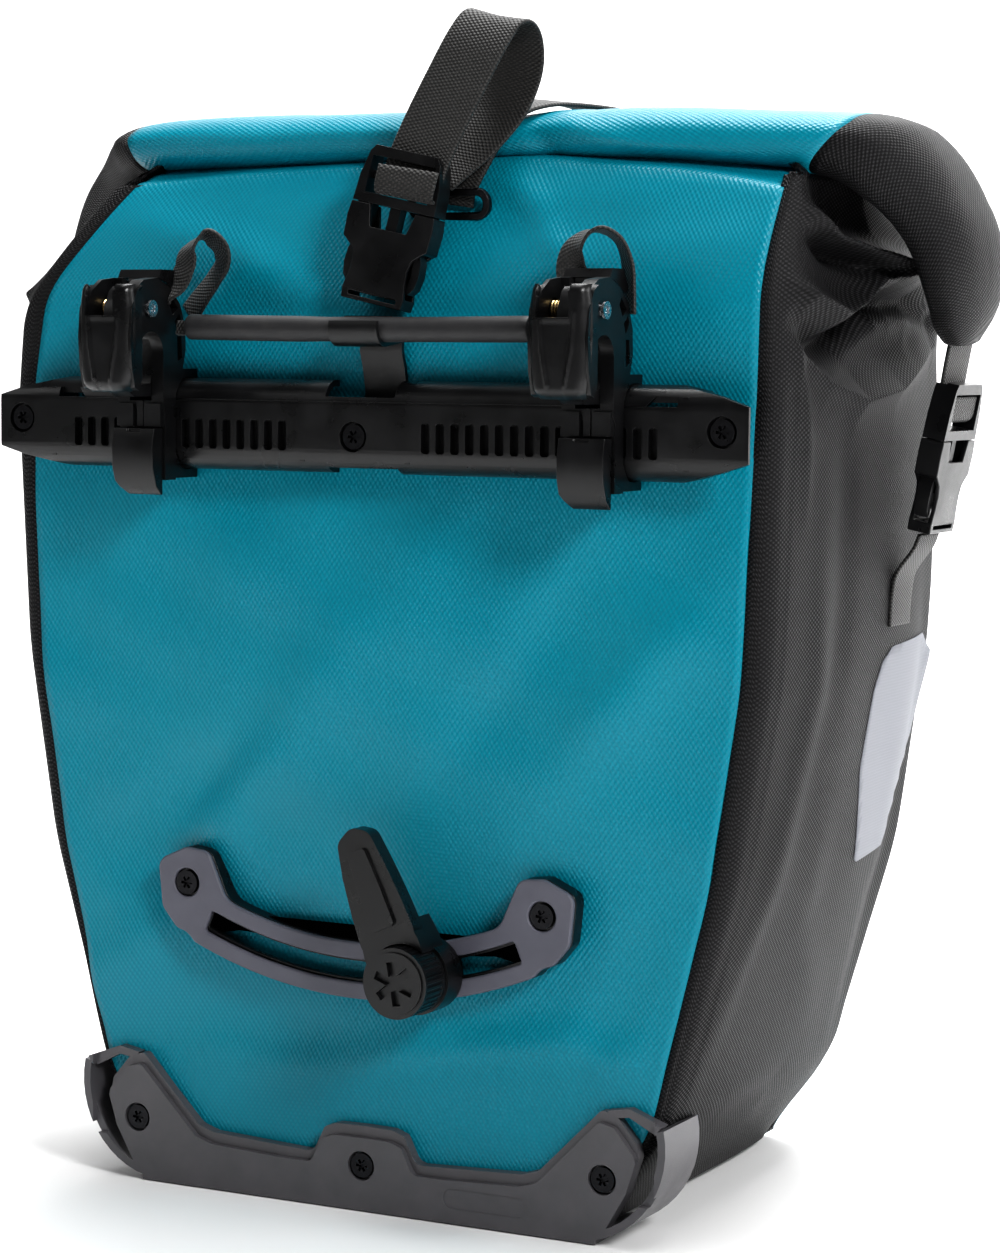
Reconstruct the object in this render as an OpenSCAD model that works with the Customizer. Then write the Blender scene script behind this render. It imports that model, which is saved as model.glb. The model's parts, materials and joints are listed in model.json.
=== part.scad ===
// Roll-top pannier bag with a rear mounting rail, two locking hooks and a lower foot hook.
// X runs along the mounting rail, Y from the rack side to the front of the bag, Z up.
// Every module works in bag coordinates, with the outer face of the back panel at y = 0,
// and place() then moves the bag so that the origin is the bottom centre of its bounding box.

/* [Bag] */
// Width of the back panel at its widest
bag_width = 304; // [296:2:308]
// Width of the flat base between the cut corners
base_width = 176; // [164:2:184]
// Depth of the bag at its base
bag_depth = 180; // [174:2:190]
// Height of the mouth, where the roll starts
mouth_z = 387; // [380:1:392]
// Thickness of the coated fabric
fabric_t = 1.6; // [1.2:0.1:2]

/* [Closure roll] */
// Thickness of the rolled mouth
roll_t = 22; // [20:1:24]
// Width of the roll from back to front
roll_w = 84; // [76:2:88]
// How far the straight part of the roll reaches to each side
roll_half = 158; // [154:1:160]

/* [Mounting rail] */
// Overall length of the rail
rail_length = 312; // [306:2:320]
// Height of the middle of the rail above the ground
rail_z = 292.5; // [288:0.5:296]
// Distance between neighbouring notches
notch_pitch = 6; // [5.8:0.1:6.2]
// Distance from the middle to each end screw
rail_screw_x = 146; // [143:1:147]

/* [Hooks] */
// Position of the left hook along the rail
left_hook_x = -86; // [-88:1:-84]
// Position of the right hook along the rail
right_hook_x = 99; // [97:1:101]
// Radius of the rack tube seat
seat_r = 8.1; // [7.6:0.1:8.1]
// Width of one hook
hook_w = 23; // [22:0.5:24]

/* [Straps] */
// Width of the closure and side webbing
strap_w = 25; // [24:0.5:26]
// Thickness of the webbing
strap_t = 1.6; // [1.2:0.1:1.8]
// Position of the closure strap across the bag
strap_x = 6; // [4:1:8]

/* [Foot] */
// Radius of the foot rail's slot centreline
arc_r = 172; // [170:1:174]
// Height of the bottom of the slot centreline
arc_low_z = 91; // [90:1:93]
// Where the foot hook stands on the arc, in degrees to the right of the middle
foot_angle = 10; // [8:1:12]
// How far the foot hook leans to the left, in degrees
foot_lean = 23; // [15:1:30]

/* [Hidden] */
$fn = 64;
gap = 0.3;                       // running gap between neighbouring pieces
hook_front_y = -49;              // front of the hooks
place_y = -(hook_front_y + bag_depth) / 2;

// ---------- colours ----------
teal = "#0f8a9d";
black_fabric = "#3a3a3c";
black_plastic = "#1c1c1e";
webbing_black = "#222223";
grey_plastic = "#6b6b74";
steel = "#c8ccd0";
reflector_grey = "#b9bcc2";

// ---------- bag shell outline ----------
cut_z = 40;      // top of the cut bottom corners
floor_z = 2.6;   // outer face of the base above the edge protector's flange
kink_z = 345;    // where the back panel starts to lean in
shoulder_z = 330; // where the front panel starts to lean back
back_lean = 20;  // how far the back panel leans in at the mouth
front_top_y = 102; // front panel at the mouth
front_shoulder_y = bag_depth - 8;
hw = bag_width / 2;
bw = base_width / 2;
// half widths of the back panel, and of the gussets that stand a seam's width outside it
panel_low = [[floor_z, bw], [cut_z, hw - 37], [130, hw - 15], [205, hw - 4], [300, hw]];
panel_right = concat(panel_low, [[mouth_z, hw - 2]]);
panel_left = concat(panel_low, [[342, hw - 3], [mouth_z, hw - 34]]);
gusset_low = [[floor_z, bw + 3], [cut_z, hw - 33.6], [130, hw - 7], [205, hw + 5], [300, hw + 11]];
gusset_right = concat(gusset_low, [[mouth_z, hw + 8]]);
gusset_left = concat(gusset_low, [[342, hw + 8], [mouth_z, hw - 28]]);

function half_width(z) = lookup(z, gusset_right);
function back_y(z) = lookup(z, [[0, 0], [kink_z, 0], [mouth_z, back_lean]]);
function front_y(z) = lookup(z, [[0, bag_depth], [shoulder_z, front_shoulder_y], [mouth_z, front_top_y]]);
function mirrored(p) = [-p[0], p[1]];
function reversed(list) = [for (i = [len(list) - 1:-1:0]) list[i]];

// One half of an outline, drawn in by i, as [x, z] points going up
function half_outline(list, i) = [for (p = list) [p[1] - i, max(p[0], floor_z + i)]];
function full_outline(right, left, i = 0) = concat(
    half_outline(right, i), reversed([for (p = half_outline(left, i)) mirrored(p)])
);

// Points of an arc, from angle a0 to a1 in n steps
function arc(c, r, a0, a1, n = 12) =
    [for (i = [0:n]) let (a = a0 + (a1 - a0) * i / n) c + r * [cos(a), sin(a)]];

// Unit normal of a path at point i
function path_normal(p, i) =
    let (a = p[max(i - 1, 0)], b = p[min(i + 1, len(p) - 1)], d = b - a, n = norm(d)) [-d[1], d[0]] / n;

// A ribbon of thickness t[i] around the path p
function ribbon(p, t) = concat(
    [for (i = [0:len(p) - 1]) p[i] + path_normal(p, i) * t[i] / 2],
    [for (i = [len(p) - 1:-1:0]) p[i] - path_normal(p, i) * t[i] / 2]
);
function same(t, p) = [for (q = p) t];

// ---------- placing helpers ----------
module place() {
    translate([0, place_y, 0]) children();
}

// A 2D (y, z) drawing extruded along X, centred on x
module along_x(x, w) {
    translate([x - w / 2, 0, 0]) rotate([90, 0, 90]) linear_extrude(w) children();
}

// A 2D (x, z) drawing extruded along Y, from y to y + d
module along_y(y, d) {
    translate([0, y + d, 0]) rotate([90, 0, 0]) linear_extrude(d) children();
}

// A rod along X, centred on x
module rod_x(x, y, z, r, w) {
    translate([x - w / 2, y, z]) rotate([0, 90, 0]) cylinder(r = r, h = w);
}

// A rod along Y, from y to y + d
module rod_y(x, y, z, r, d) {
    translate([x, y, z]) rotate([-90, 0, 0]) cylinder(r = r, h = d);
}

// A box given by its lowest and highest corners
module span(a, b) {
    translate(a) cube(b - a);
}

module rounded_2d(w, h, r) {
    union() {
        square([w - 2 * r, h], center = true);
        square([w, h - 2 * r], center = true);
        for (sx = [-1, 1], sy = [-1, 1]) translate([sx * (w / 2 - r), sy * (h / 2 - r)]) circle(r = r);
    }
}

// ---------- soft shell ----------
module outside_2d() {
    polygon(full_outline(gusset_right, gusset_left));
}

module panel_2d(i = 0) {
    polygon(full_outline(panel_right, panel_left, i));
}

module wall_2d() {
    difference() {
        outside_2d();
        polygon(full_outline(gusset_right, gusset_left, fabric_t));
        polygon([
            [lookup(mouth_z, gusset_right) - fabric_t - 0.1, mouth_z - 1], [hw, mouth_z + 9], [-hw + 40, mouth_z + 9],
            [-lookup(mouth_z, gusset_left) + fabric_t + 0.1, mouth_z - 1]
        ]);
    }
}

// The inside of the bag, seen from the side
module between_panels_2d() {
    polygon([
        [fabric_t, 0], [fabric_t, kink_z], [back_lean + fabric_t, mouth_z],
        [front_top_y - fabric_t, mouth_z], [front_shoulder_y - fabric_t, shoulder_z],
        [bag_depth - fabric_t, 0]
    ]);
}

module back_panel() {
    color(teal) intersection() {
        along_x(0, 2 * bag_width) polygon([
            [0, 0], [0, kink_z], [back_lean, mouth_z], [back_lean + fabric_t, mouth_z],
            [fabric_t, kink_z], [fabric_t, 0]
        ]);
        along_y(-5, 60) difference() {
            panel_2d();
            screw_points() circle(r = 2.6);
        }
    }
}

module front_panel() {
    color(teal) intersection() {
        along_x(0, 2 * bag_width) polygon([
            [bag_depth, 0], [front_shoulder_y, shoulder_z], [front_top_y, mouth_z],
            [front_top_y - fabric_t, mouth_z], [front_shoulder_y - fabric_t, shoulder_z],
            [bag_depth - fabric_t, 0]
        ]);
        along_y(0, bag_depth + 10) panel_2d();
    }
}

// Black fabric between the two panels: a wall, and a seam strip along each panel's edge
module sleeve_part() {
    intersection() {
        along_y(0, bag_depth) intersection() {
            wall_2d();
            children();
        }
        along_x(0, 3 * bag_width) between_panels_2d();
    }
    intersection() {
        along_y(-1, bag_depth + 2) difference() {
            intersection() {
                outside_2d();
                children();
            }
            offset(delta = 0.05) panel_2d();
        }
        along_x(0, 3 * bag_width) seam_2d();
    }
}

// Both panels' thickness, seen from the side
module seam_2d() {
    polygon([
        [0, 0], [0, kink_z], [back_lean, mouth_z], [back_lean + fabric_t + 0.05, mouth_z],
        [fabric_t + 0.05, kink_z], [fabric_t + 0.05, 0]
    ]);
    polygon([
        [bag_depth, 0], [front_shoulder_y, shoulder_z], [front_top_y, mouth_z],
        [front_top_y - fabric_t - 0.05, mouth_z], [front_shoulder_y - fabric_t - 0.05, shoulder_z],
        [bag_depth - fabric_t - 0.05, 0]
    ]);
}

module gusset(side) {
    color(black_fabric) sleeve_part() translate([side > 0 ? 0 : -400, cut_z]) square([400, 400]);
}

module base_panel() {
    color(black_fabric) union() {
        sleeve_part() translate([-400, 0]) square([800, cut_z]);
        // the stuffed base rests on the ground in front of the edge protector
        span([-bw + 8, protector_depth + 6, 0], [bw - 8, bag_depth - 8, floor_z + 0.8]);
    }
}

// Places its child at every screw through the back panel, in [x, z]
module screw_points() {
    for (x = [-rail_screw_x, 0, rail_screw_x]) translate([x, rail_screw_z(x)]) children();
    for (x = [-foot_screw_x, foot_screw_x]) translate([x, foot_screw_z]) children();
    for (x = [-protector_screw_x, 0, protector_screw_x]) translate([x, protector_screw_z(x)]) children();
}

// Plastic board that keeps the back panel flat, inside the bag
module back_stiffener() {
    color("#d8d8d2") along_y(fabric_t + gap, 1.6) difference() {
        intersection() {
            panel_2d(6);
            translate([-200, 12]) square([400, 322]);
        }
        screw_points() circle(r = 2.6);
    }
}

// Flat document pocket hung inside, open at the top
module inner_pocket() {
    pocket_z = 190;
    pocket_h = 130;
    color("#4a4a4c") difference() {
        span([-90, 14, pocket_z], [90, 23, pocket_z + pocket_h]);
        span([-88.8, 15.2, pocket_z + 1.2], [88.8, 21.8, pocket_z + pocket_h + 1]);
    }
}

// ---------- closure roll ----------
roll_y = 62;                      // middle of the roll
roll_z = mouth_z + roll_t / 2 + 0.3;
roll_left = 118;                  // how far its straight part reaches to the left

module roll_profile_2d(w, t) {
    union() {
        translate([roll_y, roll_z]) square([w - t, t], center = true);
        for (s = [-1, 1]) translate([roll_y + s * (w - t) / 2, roll_z]) circle(r = t / 2);
    }
}

module closure_roll() {
    color(teal) along_x((roll_half - roll_left) / 2, roll_half + roll_left) roll_profile_2d(roll_w, roll_t);
}

// Middle line of a drooping end, from the roll to its tip; the left end is folded in sooner
droop_right = concat([[roll_half + 0.6, roll_z]], arc([roll_half + 2, roll_z - 34], 34, 80, 4, 7),
    [[roll_half + 37, roll_z - 46], [roll_half + 34, roll_z - 62]]);
droop_left = [
    [roll_left + 0.6, roll_z], [roll_left + 20, roll_z - 0.8], [roll_left + 39, roll_z - 8.5], [roll_left + 56, roll_z - 18],
    [roll_left + 70, roll_z - 31], [roll_half + 37, roll_z - 46], [roll_half + 34, roll_z - 62]
];
// the ends taper in width; seen from above
reach = 198;
plan_right = [
    [158.3, 25.6], [160, 26], [175, 44], [185, 56], [reach, 62], [reach, 130], [188, 130], [170, 106], [158.3, 102]
];
plan_left = [
    [118.3, 25.4], [122, 26], [135, 50], [150, 84], [165, 94], [reach, 97], [reach, 138], [160, 130], [135, 104], [118.3, 101.3]
];
side_y = 112;                     // middle of the side straps

function droop(side) = side > 0 ? droop_right : droop_left;

module roll_end(side) {
    d = droop(side);
    n = len(d) - 1;
    t = [for (i = [0:n]) roll_t - 7 * pow(i / n, 3)];
    color(black_fabric) scale_x(side) difference() {
        intersection() {
            along_y(20, 125) polygon(ribbon(d, t));
            translate([0, 0, 300]) linear_extrude(130) polygon(side > 0 ? plan_right : plan_left);
        }
        // pocket between the folds, into which the side strap slides
        along_y(side_y - strap_w / 2 - 0.6, strap_w + 1.2) polygon([
            side_pt([4.4, 66]), side_pt([4.4, 118]), side_pt([1.6, 118]), side_pt([1.6, 66])
        ]);
    }
}

module scale_x(side) {
    if (side > 0) children();
    else mirror([1, 0, 0]) children();
}

module reflector(side) {
    // a slanted six-sided patch on the front half of the side
    patch = [[108, 212], [160, 214], [163, 196], [140, 136], [106, 128], [92, 168], [95, 198]];
    tilt = atan((half_width(205) - half_width(130)) / 75);
    color(reflector_grey) scale_x(side)
        translate([half_width(130) + 0.25, 0, 130]) rotate([0, tilt, 0]) translate([0, 0, -130])
            along_x(0.3, 0.5) polygon(patch);
}

// ---------- mounting rail ----------
rail_h = 34;
rail_back_y = -4.5;
rail_front_y = -16;
rail_wall = 2.4;
function rail_screw_z(x) = x == 0 ? rail_z - 3.5 : rail_z + 1;
notch_first = 30;
notch_count = 16;
rail_gap_w = 29;                  // middle notch in the flanges
rail_gap_x = 2.5;

// Cross-section of the rail: a flat front and two rounded flanges
module rail_outer_2d(inset) {
    r = 9 - inset;
    z0 = rail_z - rail_h / 2 + inset;
    z1 = rail_z + rail_h / 2 - inset;
    yb = rail_back_y;
    yf = rail_front_y + inset;
    polygon(concat(
        [[yb, z0]], arc([yf + r, z0 + r], r, 270, 180, 8), arc([yf + r, z1 - r], r, 180, 90, 8), [[yb, z1]]
    ));
}

module rail_boss(x) {
    back = x == 0 ? -2.3 : -0.1;
    rod_y(x, rail_front_y + 1, rail_screw_z(x), 7.5, back - rail_front_y - 1);
}

module top_rail() {
    color(black_plastic) difference() {
        union() {
            difference() {
                along_x(0, rail_length) rail_outer_2d(0);
                along_x(0, rail_length - 8) rail_outer_2d(rail_wall);
            }
            for (x = [-rail_screw_x, 0, rail_screw_x]) rail_boss(x);
            // backing that closes the notches
            for (s = [-1, 1]) scale_x(s)
                span([notch_first - 4, rail_front_y + 2, rail_z - 11], [notch_first + 94, rail_front_y + 5, rail_z + 4]);
            for (x = [-notch_first + 8, notch_first - 8, -rail_screw_x + 14, rail_screw_x - 14])
                span([x - 1, rail_front_y + 1, rail_z - rail_h / 2 + 4], [x + 1, -0.2, rail_z + rail_h / 2 - 4]);
        }
        // the ends taper in height and curve towards the bag
        for (s = [-1, 1]) scale_x(s) {
            along_y(-40, 60) polygon([
                [rail_length / 2 - 34, rail_z + 18], [rail_length / 2 + 9, rail_z + 18],
                [rail_length / 2 + 9, rail_z + 7], [rail_length / 2 - 10, rail_z + 13], [rail_length / 2 - 26, rail_z + 16.6]
            ]);
            along_y(-40, 60) polygon([
                [rail_length / 2 - 34, rail_z - 18], [rail_length / 2 + 9, rail_z - 18],
                [rail_length / 2 + 9, rail_z - 7], [rail_length / 2 - 10, rail_z - 13], [rail_length / 2 - 26, rail_z - 16.6]
            ]);
            translate([rail_length / 2 - 5, -10.5, rail_z - 30]) rotate([0, 0, 52]) translate([0, -20, 0]) cube([20, 40, 60]);
            // wedge window above the end screw
            translate([0, rail_front_y - 1, 0]) along_y(0, 4) polygon([
                [rail_length / 2 - 39, rail_z + 9.4], [rail_length / 2 - 27, rail_z + 9.4],
                [rail_length / 2 - 27, rail_z + 13], [rail_length / 2 - 35.6, rail_z + 13]
            ]);
        }
        // notches that index the hooks
        for (s = [-1, 1], i = [0:notch_count - 1])
            translate([s * (notch_first + i * notch_pitch), rail_front_y - 1, rail_z - 3.5]) along_y(0, 4.5) polygon([
                [-1.7, -4.8], [-1, -5.5], [1, -5.5], [1.7, -4.8], [1.7, 4.8], [1, 5.5], [-1, 5.5], [-1.7, 4.8]
            ]);
        // line along the top of the front face
        span([-117, rail_front_y - 1, rail_z + 8.7], [117, rail_front_y + 0.4, rail_z + 9.3]);
        // gaps in both flanges at the middle
        span([rail_gap_x - rail_gap_w / 2, rail_front_y - 1, rail_z + 11], [rail_gap_x + rail_gap_w / 2, 5, rail_z + 30]);
        span([rail_gap_x - rail_gap_w / 2, rail_front_y - 1, rail_z - 30], [rail_gap_x + rail_gap_w / 2, 5, rail_z - 15]);
        for (x = [-rail_screw_x, 0, rail_screw_x]) {
            rod_y(x, rail_front_y - 1, rail_screw_z(x), 5.6, 4.6);
            rod_y(x, rail_front_y, rail_screw_z(x), 2.6, 20);
        }
    }
}

// ---------- fasteners ----------
// Round-headed screw pointing along +Y, with a cross recess
module screw(x, y, z, head_r, head_h, shank) {
    difference() {
        union() {
            rod_y(x, y, z, head_r, head_h);
            rod_y(x, y + head_h - 0.1, z, 2.4, shank);
        }
        for (a = [0, 60, 120])
            translate([x, y + 0.6, z]) rotate([0, a, 0]) cube([head_r * 1.05, 1.6, 1], center = true);
    }
}

// Flanged nut inside the bag, on the end of a screw
module back_nut(x, y, z) {
    difference() {
        union() {
            rod_y(x, y, z, 8, 1.4);
            rod_y(x, y + 1.3, z, 4.6, 3.4);
        }
        rod_y(x, y - 1, z, 2.5, 8);
    }
}

nut_y = fabric_t + gap + 1.6 + 0.2;

module rail_screws() {
    color("#2a2a2c") for (x = [-rail_screw_x, 0, rail_screw_x])
        screw(x, rail_front_y + 0.6, rail_screw_z(x), 4.6, 2.8, 21);
}

module rail_nuts() {
    color(steel) for (x = [-rail_screw_x, 0, rail_screw_x]) back_nut(x, nut_y, rail_screw_z(x));
}

// ---------- hooks ----------
seat_y = -33;                     // middle of the rack tube
seat_z = 318.5;
pin_y = -34.5;
pin_z = 335;
lever_w = 9;
slot_w = lever_w + 2 * gap;
plate_y = rail_front_y - gap;     // back of the hook's base plate
mouth_front_y = seat_y - seat_r;
mouth_back_y = seat_y + seat_r;

// Side view of the hook: base plate, arm, roof and nose
module hook_side_2d() {
    difference() {
        polygon([
            [plate_y, rail_z - 21], [plate_y, rail_z + 18.5], [-11.5, 313], [-9.5, 320], [-10, 329],
            [-13.5, 337], [-20, 343], [-29, 346.5], [-38, 345.5], [-44.5, 341.5], [-48, 335],
            [hook_front_y, 325], [-48.2, 314], [-46, 306], [-43.5, 305], [mouth_front_y, 309],
            [mouth_front_y, seat_z], [mouth_back_y, seat_z], [mouth_back_y, 300], [-23.4, 296],
            [-23.4, rail_z - 21]
        ]);
        translate([seat_y, seat_z]) circle(r = seat_r);
        // lightening holes behind the arm
        polygon([[-15, 335.5], [-19.5, 339.6], [-21, 337], [-18.4, 333]]);
        polygon([[-12.6, 331], [-14, 333.4], [-17.2, 330.6], [-15.6, 327]]);
        polygon([[-12, 317], [-12.6, 325], [-15.4, 325], [-15, 315.6]]);
    }
}

// Claws that hold the hook on the rail's flanges
module hook_claws_2d() {
    z0 = rail_z - rail_h / 2;
    z1 = rail_z + rail_h / 2;
    polygon([
        [plate_y, z1 - 6], [plate_y, z1 + 3.4], [-1.4, z1 + 3.4], [-1.4, z1 - 3],
        [rail_back_y + gap, z1 - 3], [rail_back_y + gap, z1 + gap], [-9, z1 + gap], [-11.4, z1 - 0.2], [-13.6, z1 - 2]
    ]);
    polygon([
        [plate_y, z0 + 6], [plate_y, z0 - 3.4], [-1.4, z0 - 3.4], [-1.4, z0 + 3],
        [rail_back_y + gap, z0 + 3], [rail_back_y + gap, z0 - gap], [-9, z0 - gap], [-11.4, z0 + 0.2], [-13.6, z0 + 2]
    ]);
}

module hook(x) {
    color(black_plastic) difference() {
        union() {
            along_x(x, hook_w - 3) hook_side_2d();
            // the nose is wider than the arm
            intersection() {
                along_x(x, hook_w) hook_side_2d();
                span([x - 20, hook_front_y - 1, 300], [x + 20, mouth_front_y, 344]);
            }
            along_x(x, hook_w - 3) hook_claws_2d();
            // two pads and a rib above the rail latch
            for (s = [-1, 1]) span([x + s * 6 - 3.6, -26.4, 291.5], [x + s * 6 + 3.6, -23, 300]);
            span([x - 1.4, -25.4, 291.5], [x + 1.4, -23, 303]);
        }
        // slot for the lever, through the arm and roof
        along_x(x, slot_w) polygon([
            [-26.8, 301], [-26.8, 325.4], [-27.6, 327], [-32.4, 330], [-34.5, 329.7], [-42, 329.7],
            [-42, 350], [-5, 350], [-5, 330.5], [0, 330.5], [0, 301]
        ]);
        // window in the nose that shows the spring
        span([x - slot_w / 2 - 3.6, -50, 332], [x - slot_w / 2 + 4, -30, 350]);
        rod_x(x, pin_y, pin_z, 2.02, hook_w + 2);
        rod_x(x + hook_w / 2 - 0.6, pin_y, pin_z, 3.3, 2);
        // pocket for the spring
        rod_x(x - slot_w / 2 - 2.1, pin_y, pin_z, 4.4, 4.6);
        // groove for the latch's tongue
        span([x - 3.4, -24, 260], [x + 3.4, -20.2, 291.2]);
        // recesses in the face of the nose
        for (s = [-1, 1]) translate([x + s * 8.4, hook_front_y + 0.2, 322]) rotate([0, -s * 4, 0])
            cube([0.9, 1.4, 22], center = true);
    }
}

// Lever that closes the mouth under the rack tube
module lever(x) {
    color("#161618") difference() {
        union() {
            along_x(x, lever_w) union() {
                translate([pin_y, pin_z]) circle(r = 4.8);
                polygon([
                    [pin_y - 3, pin_z - 3.6], [pin_y - 2, pin_z + 4.2], [-26, 342.5], [-19, 339], [-16.6, 331],
                    [-17.2, 316], [-19.8, 306], [-22.5, 302.6], [-36, 302.6], [-39.4, 304.4], [-38.6, 306.4],
                    [-25.4, 307.4], [-24.2, 311], [-24.2, 321], [-27, 327.6], [pin_y + 2, pin_z - 4.2]
                ]);
            }
            // bracket with the slot that the handle strap passes through
            along_x(x, hook_w - 5) polygon([
                [-26.6, 346.5], [-24.6, 349.6], [-15.4, 349.6], [-11.8, 342.6], [-13.8, 341], [-17.4, 342.6],
                [-20.8, 344.6]
            ]);
            along_x(x, lever_w) polygon([[-28, 340.4], [-26, 347.4], [-20, 347.4], [-19, 338.6]]);
        }
        rod_x(x, pin_y, pin_z, 2.06, lever_w + 2);
        span([x - 7, -19.2, 341], [x + 7, -16.4, 352]);
    }
}

module lever_pin(x) {
    color(steel) difference() {
        union() {
            rod_x(x, pin_y, pin_z, 2, hook_w - 1);
            rod_x(x + hook_w / 2 - 0.1, pin_y, pin_z, 3.1, 0.9);
        }
        for (a = [0, 60, 120])
            translate([x + hook_w / 2 + 0.4, pin_y, pin_z]) rotate([a, 0, 0]) cube([1, 0.8, 3.6], center = true);
    }
}

// Torsion spring wound round the pin beside the lever
spring_turns = 3;
spring_r = 3.1;
wire_r = 0.42;
module lever_spring(x) {
    steps = 20;
    sides = 6;
    pitch = 2.8 * wire_r;
    last = spring_turns * steps;
    points = [for (i = [0:last], k = [0:sides - 1])
        let (a = 360 * i / steps, b = 360 * k / sides, r = spring_r + wire_r * cos(b))
            [pitch * i / steps + wire_r * sin(b), r * cos(a), r * sin(a)]];
    faces = concat(
        [[for (k = [0:sides - 1]) k]],
        [for (i = [0:last - 1], k = [0:sides - 1])
            [i * sides + k, (i + 1) * sides + k, (i + 1) * sides + (k + 1) % sides, i * sides + (k + 1) % sides]],
        [[for (k = [sides - 1:-1:0]) last * sides + k]]
    );
    color("#d0b070") translate([x - slot_w / 2 - 3.83, pin_y, pin_z]) polyhedron(points, faces);
}

// Sliding latch at the foot of the hook that engages the rail
module rail_latch(x) {
    color(black_plastic) difference() {
        union() {
            along_x(x, hook_w - 5) polygon([
                [-23.4 - gap, 290.8], [-29.6, 290.8], [-31, 284], [-30.6, 276], [-28, 269], [-24.4, 266],
                [-23.4 - gap, 266]
            ]);
            span([x - 3, -24, 268], [x + 3, -20.6, 290.8]);
        }
        span([x - 3, -35, 289.6], [x + 3, -28.6, 292]);
        // bevel on the left, where a finger pushes
        translate([x - hook_w / 2 + 1.4, -29, 262]) rotate([0, -34, 0]) cube([12, 20, 22], center = true);
    }
}

// ---------- handle ----------
tube_y = -18.9;
tube_z = 328.5;
tube_r = 4.7;
tube_left_x = -68;
tube_right_x = 74;

// Rubber sleeve on the handle strap
module handle_tube() {
    color("#252527") translate([tube_left_x, tube_y, tube_z]) rotate([0, 90, 0]) difference() {
        cylinder(r = tube_r, h = tube_right_x - tube_left_x);
        translate([0, 0, -1]) cylinder(r = 3.1, h = tube_right_x - tube_left_x + 2);
    }
}

// Rolled webbing inside the sleeve, which runs on towards both hooks
module handle_strap() {
    color(webbing_black) rod_x((left_hook_x + right_hook_x) / 2, tube_y, tube_z, 2.8, right_hook_x - left_hook_x - hook_w - 2);
}

// End of the handle strap: a loop that stands above the lever's bracket
module lever_strap(x, lean) {
    top = concat([[-17.8, 350.2]], arc([-14.2, 357], 3.6, 180, 0, 10), [[-10.2, 350.2]]);
    stub = [[-17.8, 343.4], [-17.8, 350.6]];
    color(webbing_black) union() {
        translate([x, 0, 350.4]) rotate([0, lean, 0]) translate([0, 0, -350.4])
            along_x(0, 13) polygon(ribbon(top, same(1.2, top)));
        along_x(x, 13) polygon(ribbon(stub, same(1.2, stub)));
    }
}

// Strip that anchors the buckle behind the rail, with a cradle for the sleeve
module anchor_strip() {
    w = 17.5;
    cradle_w = 20;
    strip = [[-1.1, 280], [-1.1, 306], [-3, 314], [-5.2, 320], [-5.2, 332.4]];
    color("#1f1f21") union() {
        difference() {
            along_x(strap_x, w) polygon(ribbon(strip, same(1.8, strip)));
            rod_y(0, -5, rail_screw_z(0), 2.6, 10);
        }
        along_x(strap_x - 1, cradle_w) difference() {
            union() {
                translate([tube_y, tube_z]) circle(r = tube_r + 2);
                polygon([[tube_y, tube_z - 6.7], [-4.6, tube_z - 5], [-4.6, tube_z + 4], [tube_y + 4.6, tube_z + 4]]);
            }
            translate([tube_y, tube_z]) circle(r = tube_r + gap);
            translate([tube_y - 5, tube_z]) square([10, 20]);
            translate([tube_y - 9, tube_z + 2.6]) square([9, 20]);
        }
    }
}

// ---------- side-release buckle ----------
// Local frame: x across, y through the thickness, z from the socket's anchor to the plug.
module buckle_socket_body(colour = black_plastic) {
    color(colour) difference() {
        union() {
            // waist with the two side windows, and shoulders around the plug's arms
            along_y(-4.6, 9.2) polygon([
                [-12.6, 0], [12.6, 0], [13, 4], [12, 9], [11.6, 14], [12.6, 18], [15.6, 20.6], [17.6, 22],
                [18, 30], [17.4, 35], [9.6, 35], [7.6, 27], [-7.6, 27], [-9.6, 35], [-17.4, 35],
                [-18, 30], [-17.6, 22], [-15.6, 20.6], [-12.6, 18], [-11.6, 14], [-12, 9], [-13, 4]
            ]);
        }
        // hollow for the arms and the guide
        span([-16.1, -2.9, 4], [16.1, 2.9, 40]);
        // web slot at the anchor end
        span([-10, -5, 1.6], [10, 5, 3]);
    }
}

module buckle_plug_body(colour = black_plastic) {
    color(colour) union() {
        // frame with a ladder bar for the webbing
        difference() {
            along_y(-4.4, 8.8) polygon([
                [-17.2, 35.4], [17.2, 35.4], [16.6, 45], [14.6, 54], [12.8, 56.4], [-12.8, 56.4],
                [-14.6, 54], [-16.6, 45]
            ]);
            span([-13.2, -5, 39], [13.2, 5, 44.4]);
            span([-13.2, -5, 47.4], [13.2, 5, 52.6]);
            span([-13.2, 0.2, 50], [13.2, 5, 60]);
            for (s = [-1, 1]) span([-13.2, s * 4.6 - 3.1, 40], [13.2, s * 4.6 + 3.1, 50]);
        }
        // two arms with bowed release buttons, and a guide between them
        for (s = [-1, 1]) scale_x(s) along_y(-2.6, 5.2) polygon([
            [9.8, 36], [9.8, 30], [12, 22], [12.6, 12], [11.4, 7], [13, 6], [15, 8.4], [15.8, 13],
            [15.4, 18], [13.8, 22], [14.8, 30], [16, 36]
        ]);
        along_y(-2.4, 4.8) polygon([[-2.2, 36], [-2.2, 16], [0, 14], [2.2, 16], [2.2, 36]]);
    }
}

buckle_lean = 6;    // the closure buckle leans back against the bag
buckle_tilt = 12;   // and to the right
buckle_z = 337;
module closure_buckle() {
    translate([strap_x - 0.5, -9.2, buckle_z]) rotate([-buckle_lean, buckle_tilt, 0]) children();
}

module buckle_socket() {
    closure_buckle() buckle_socket_body();
}

module buckle_plug() {
    closure_buckle() buckle_plug_body();
}

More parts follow.
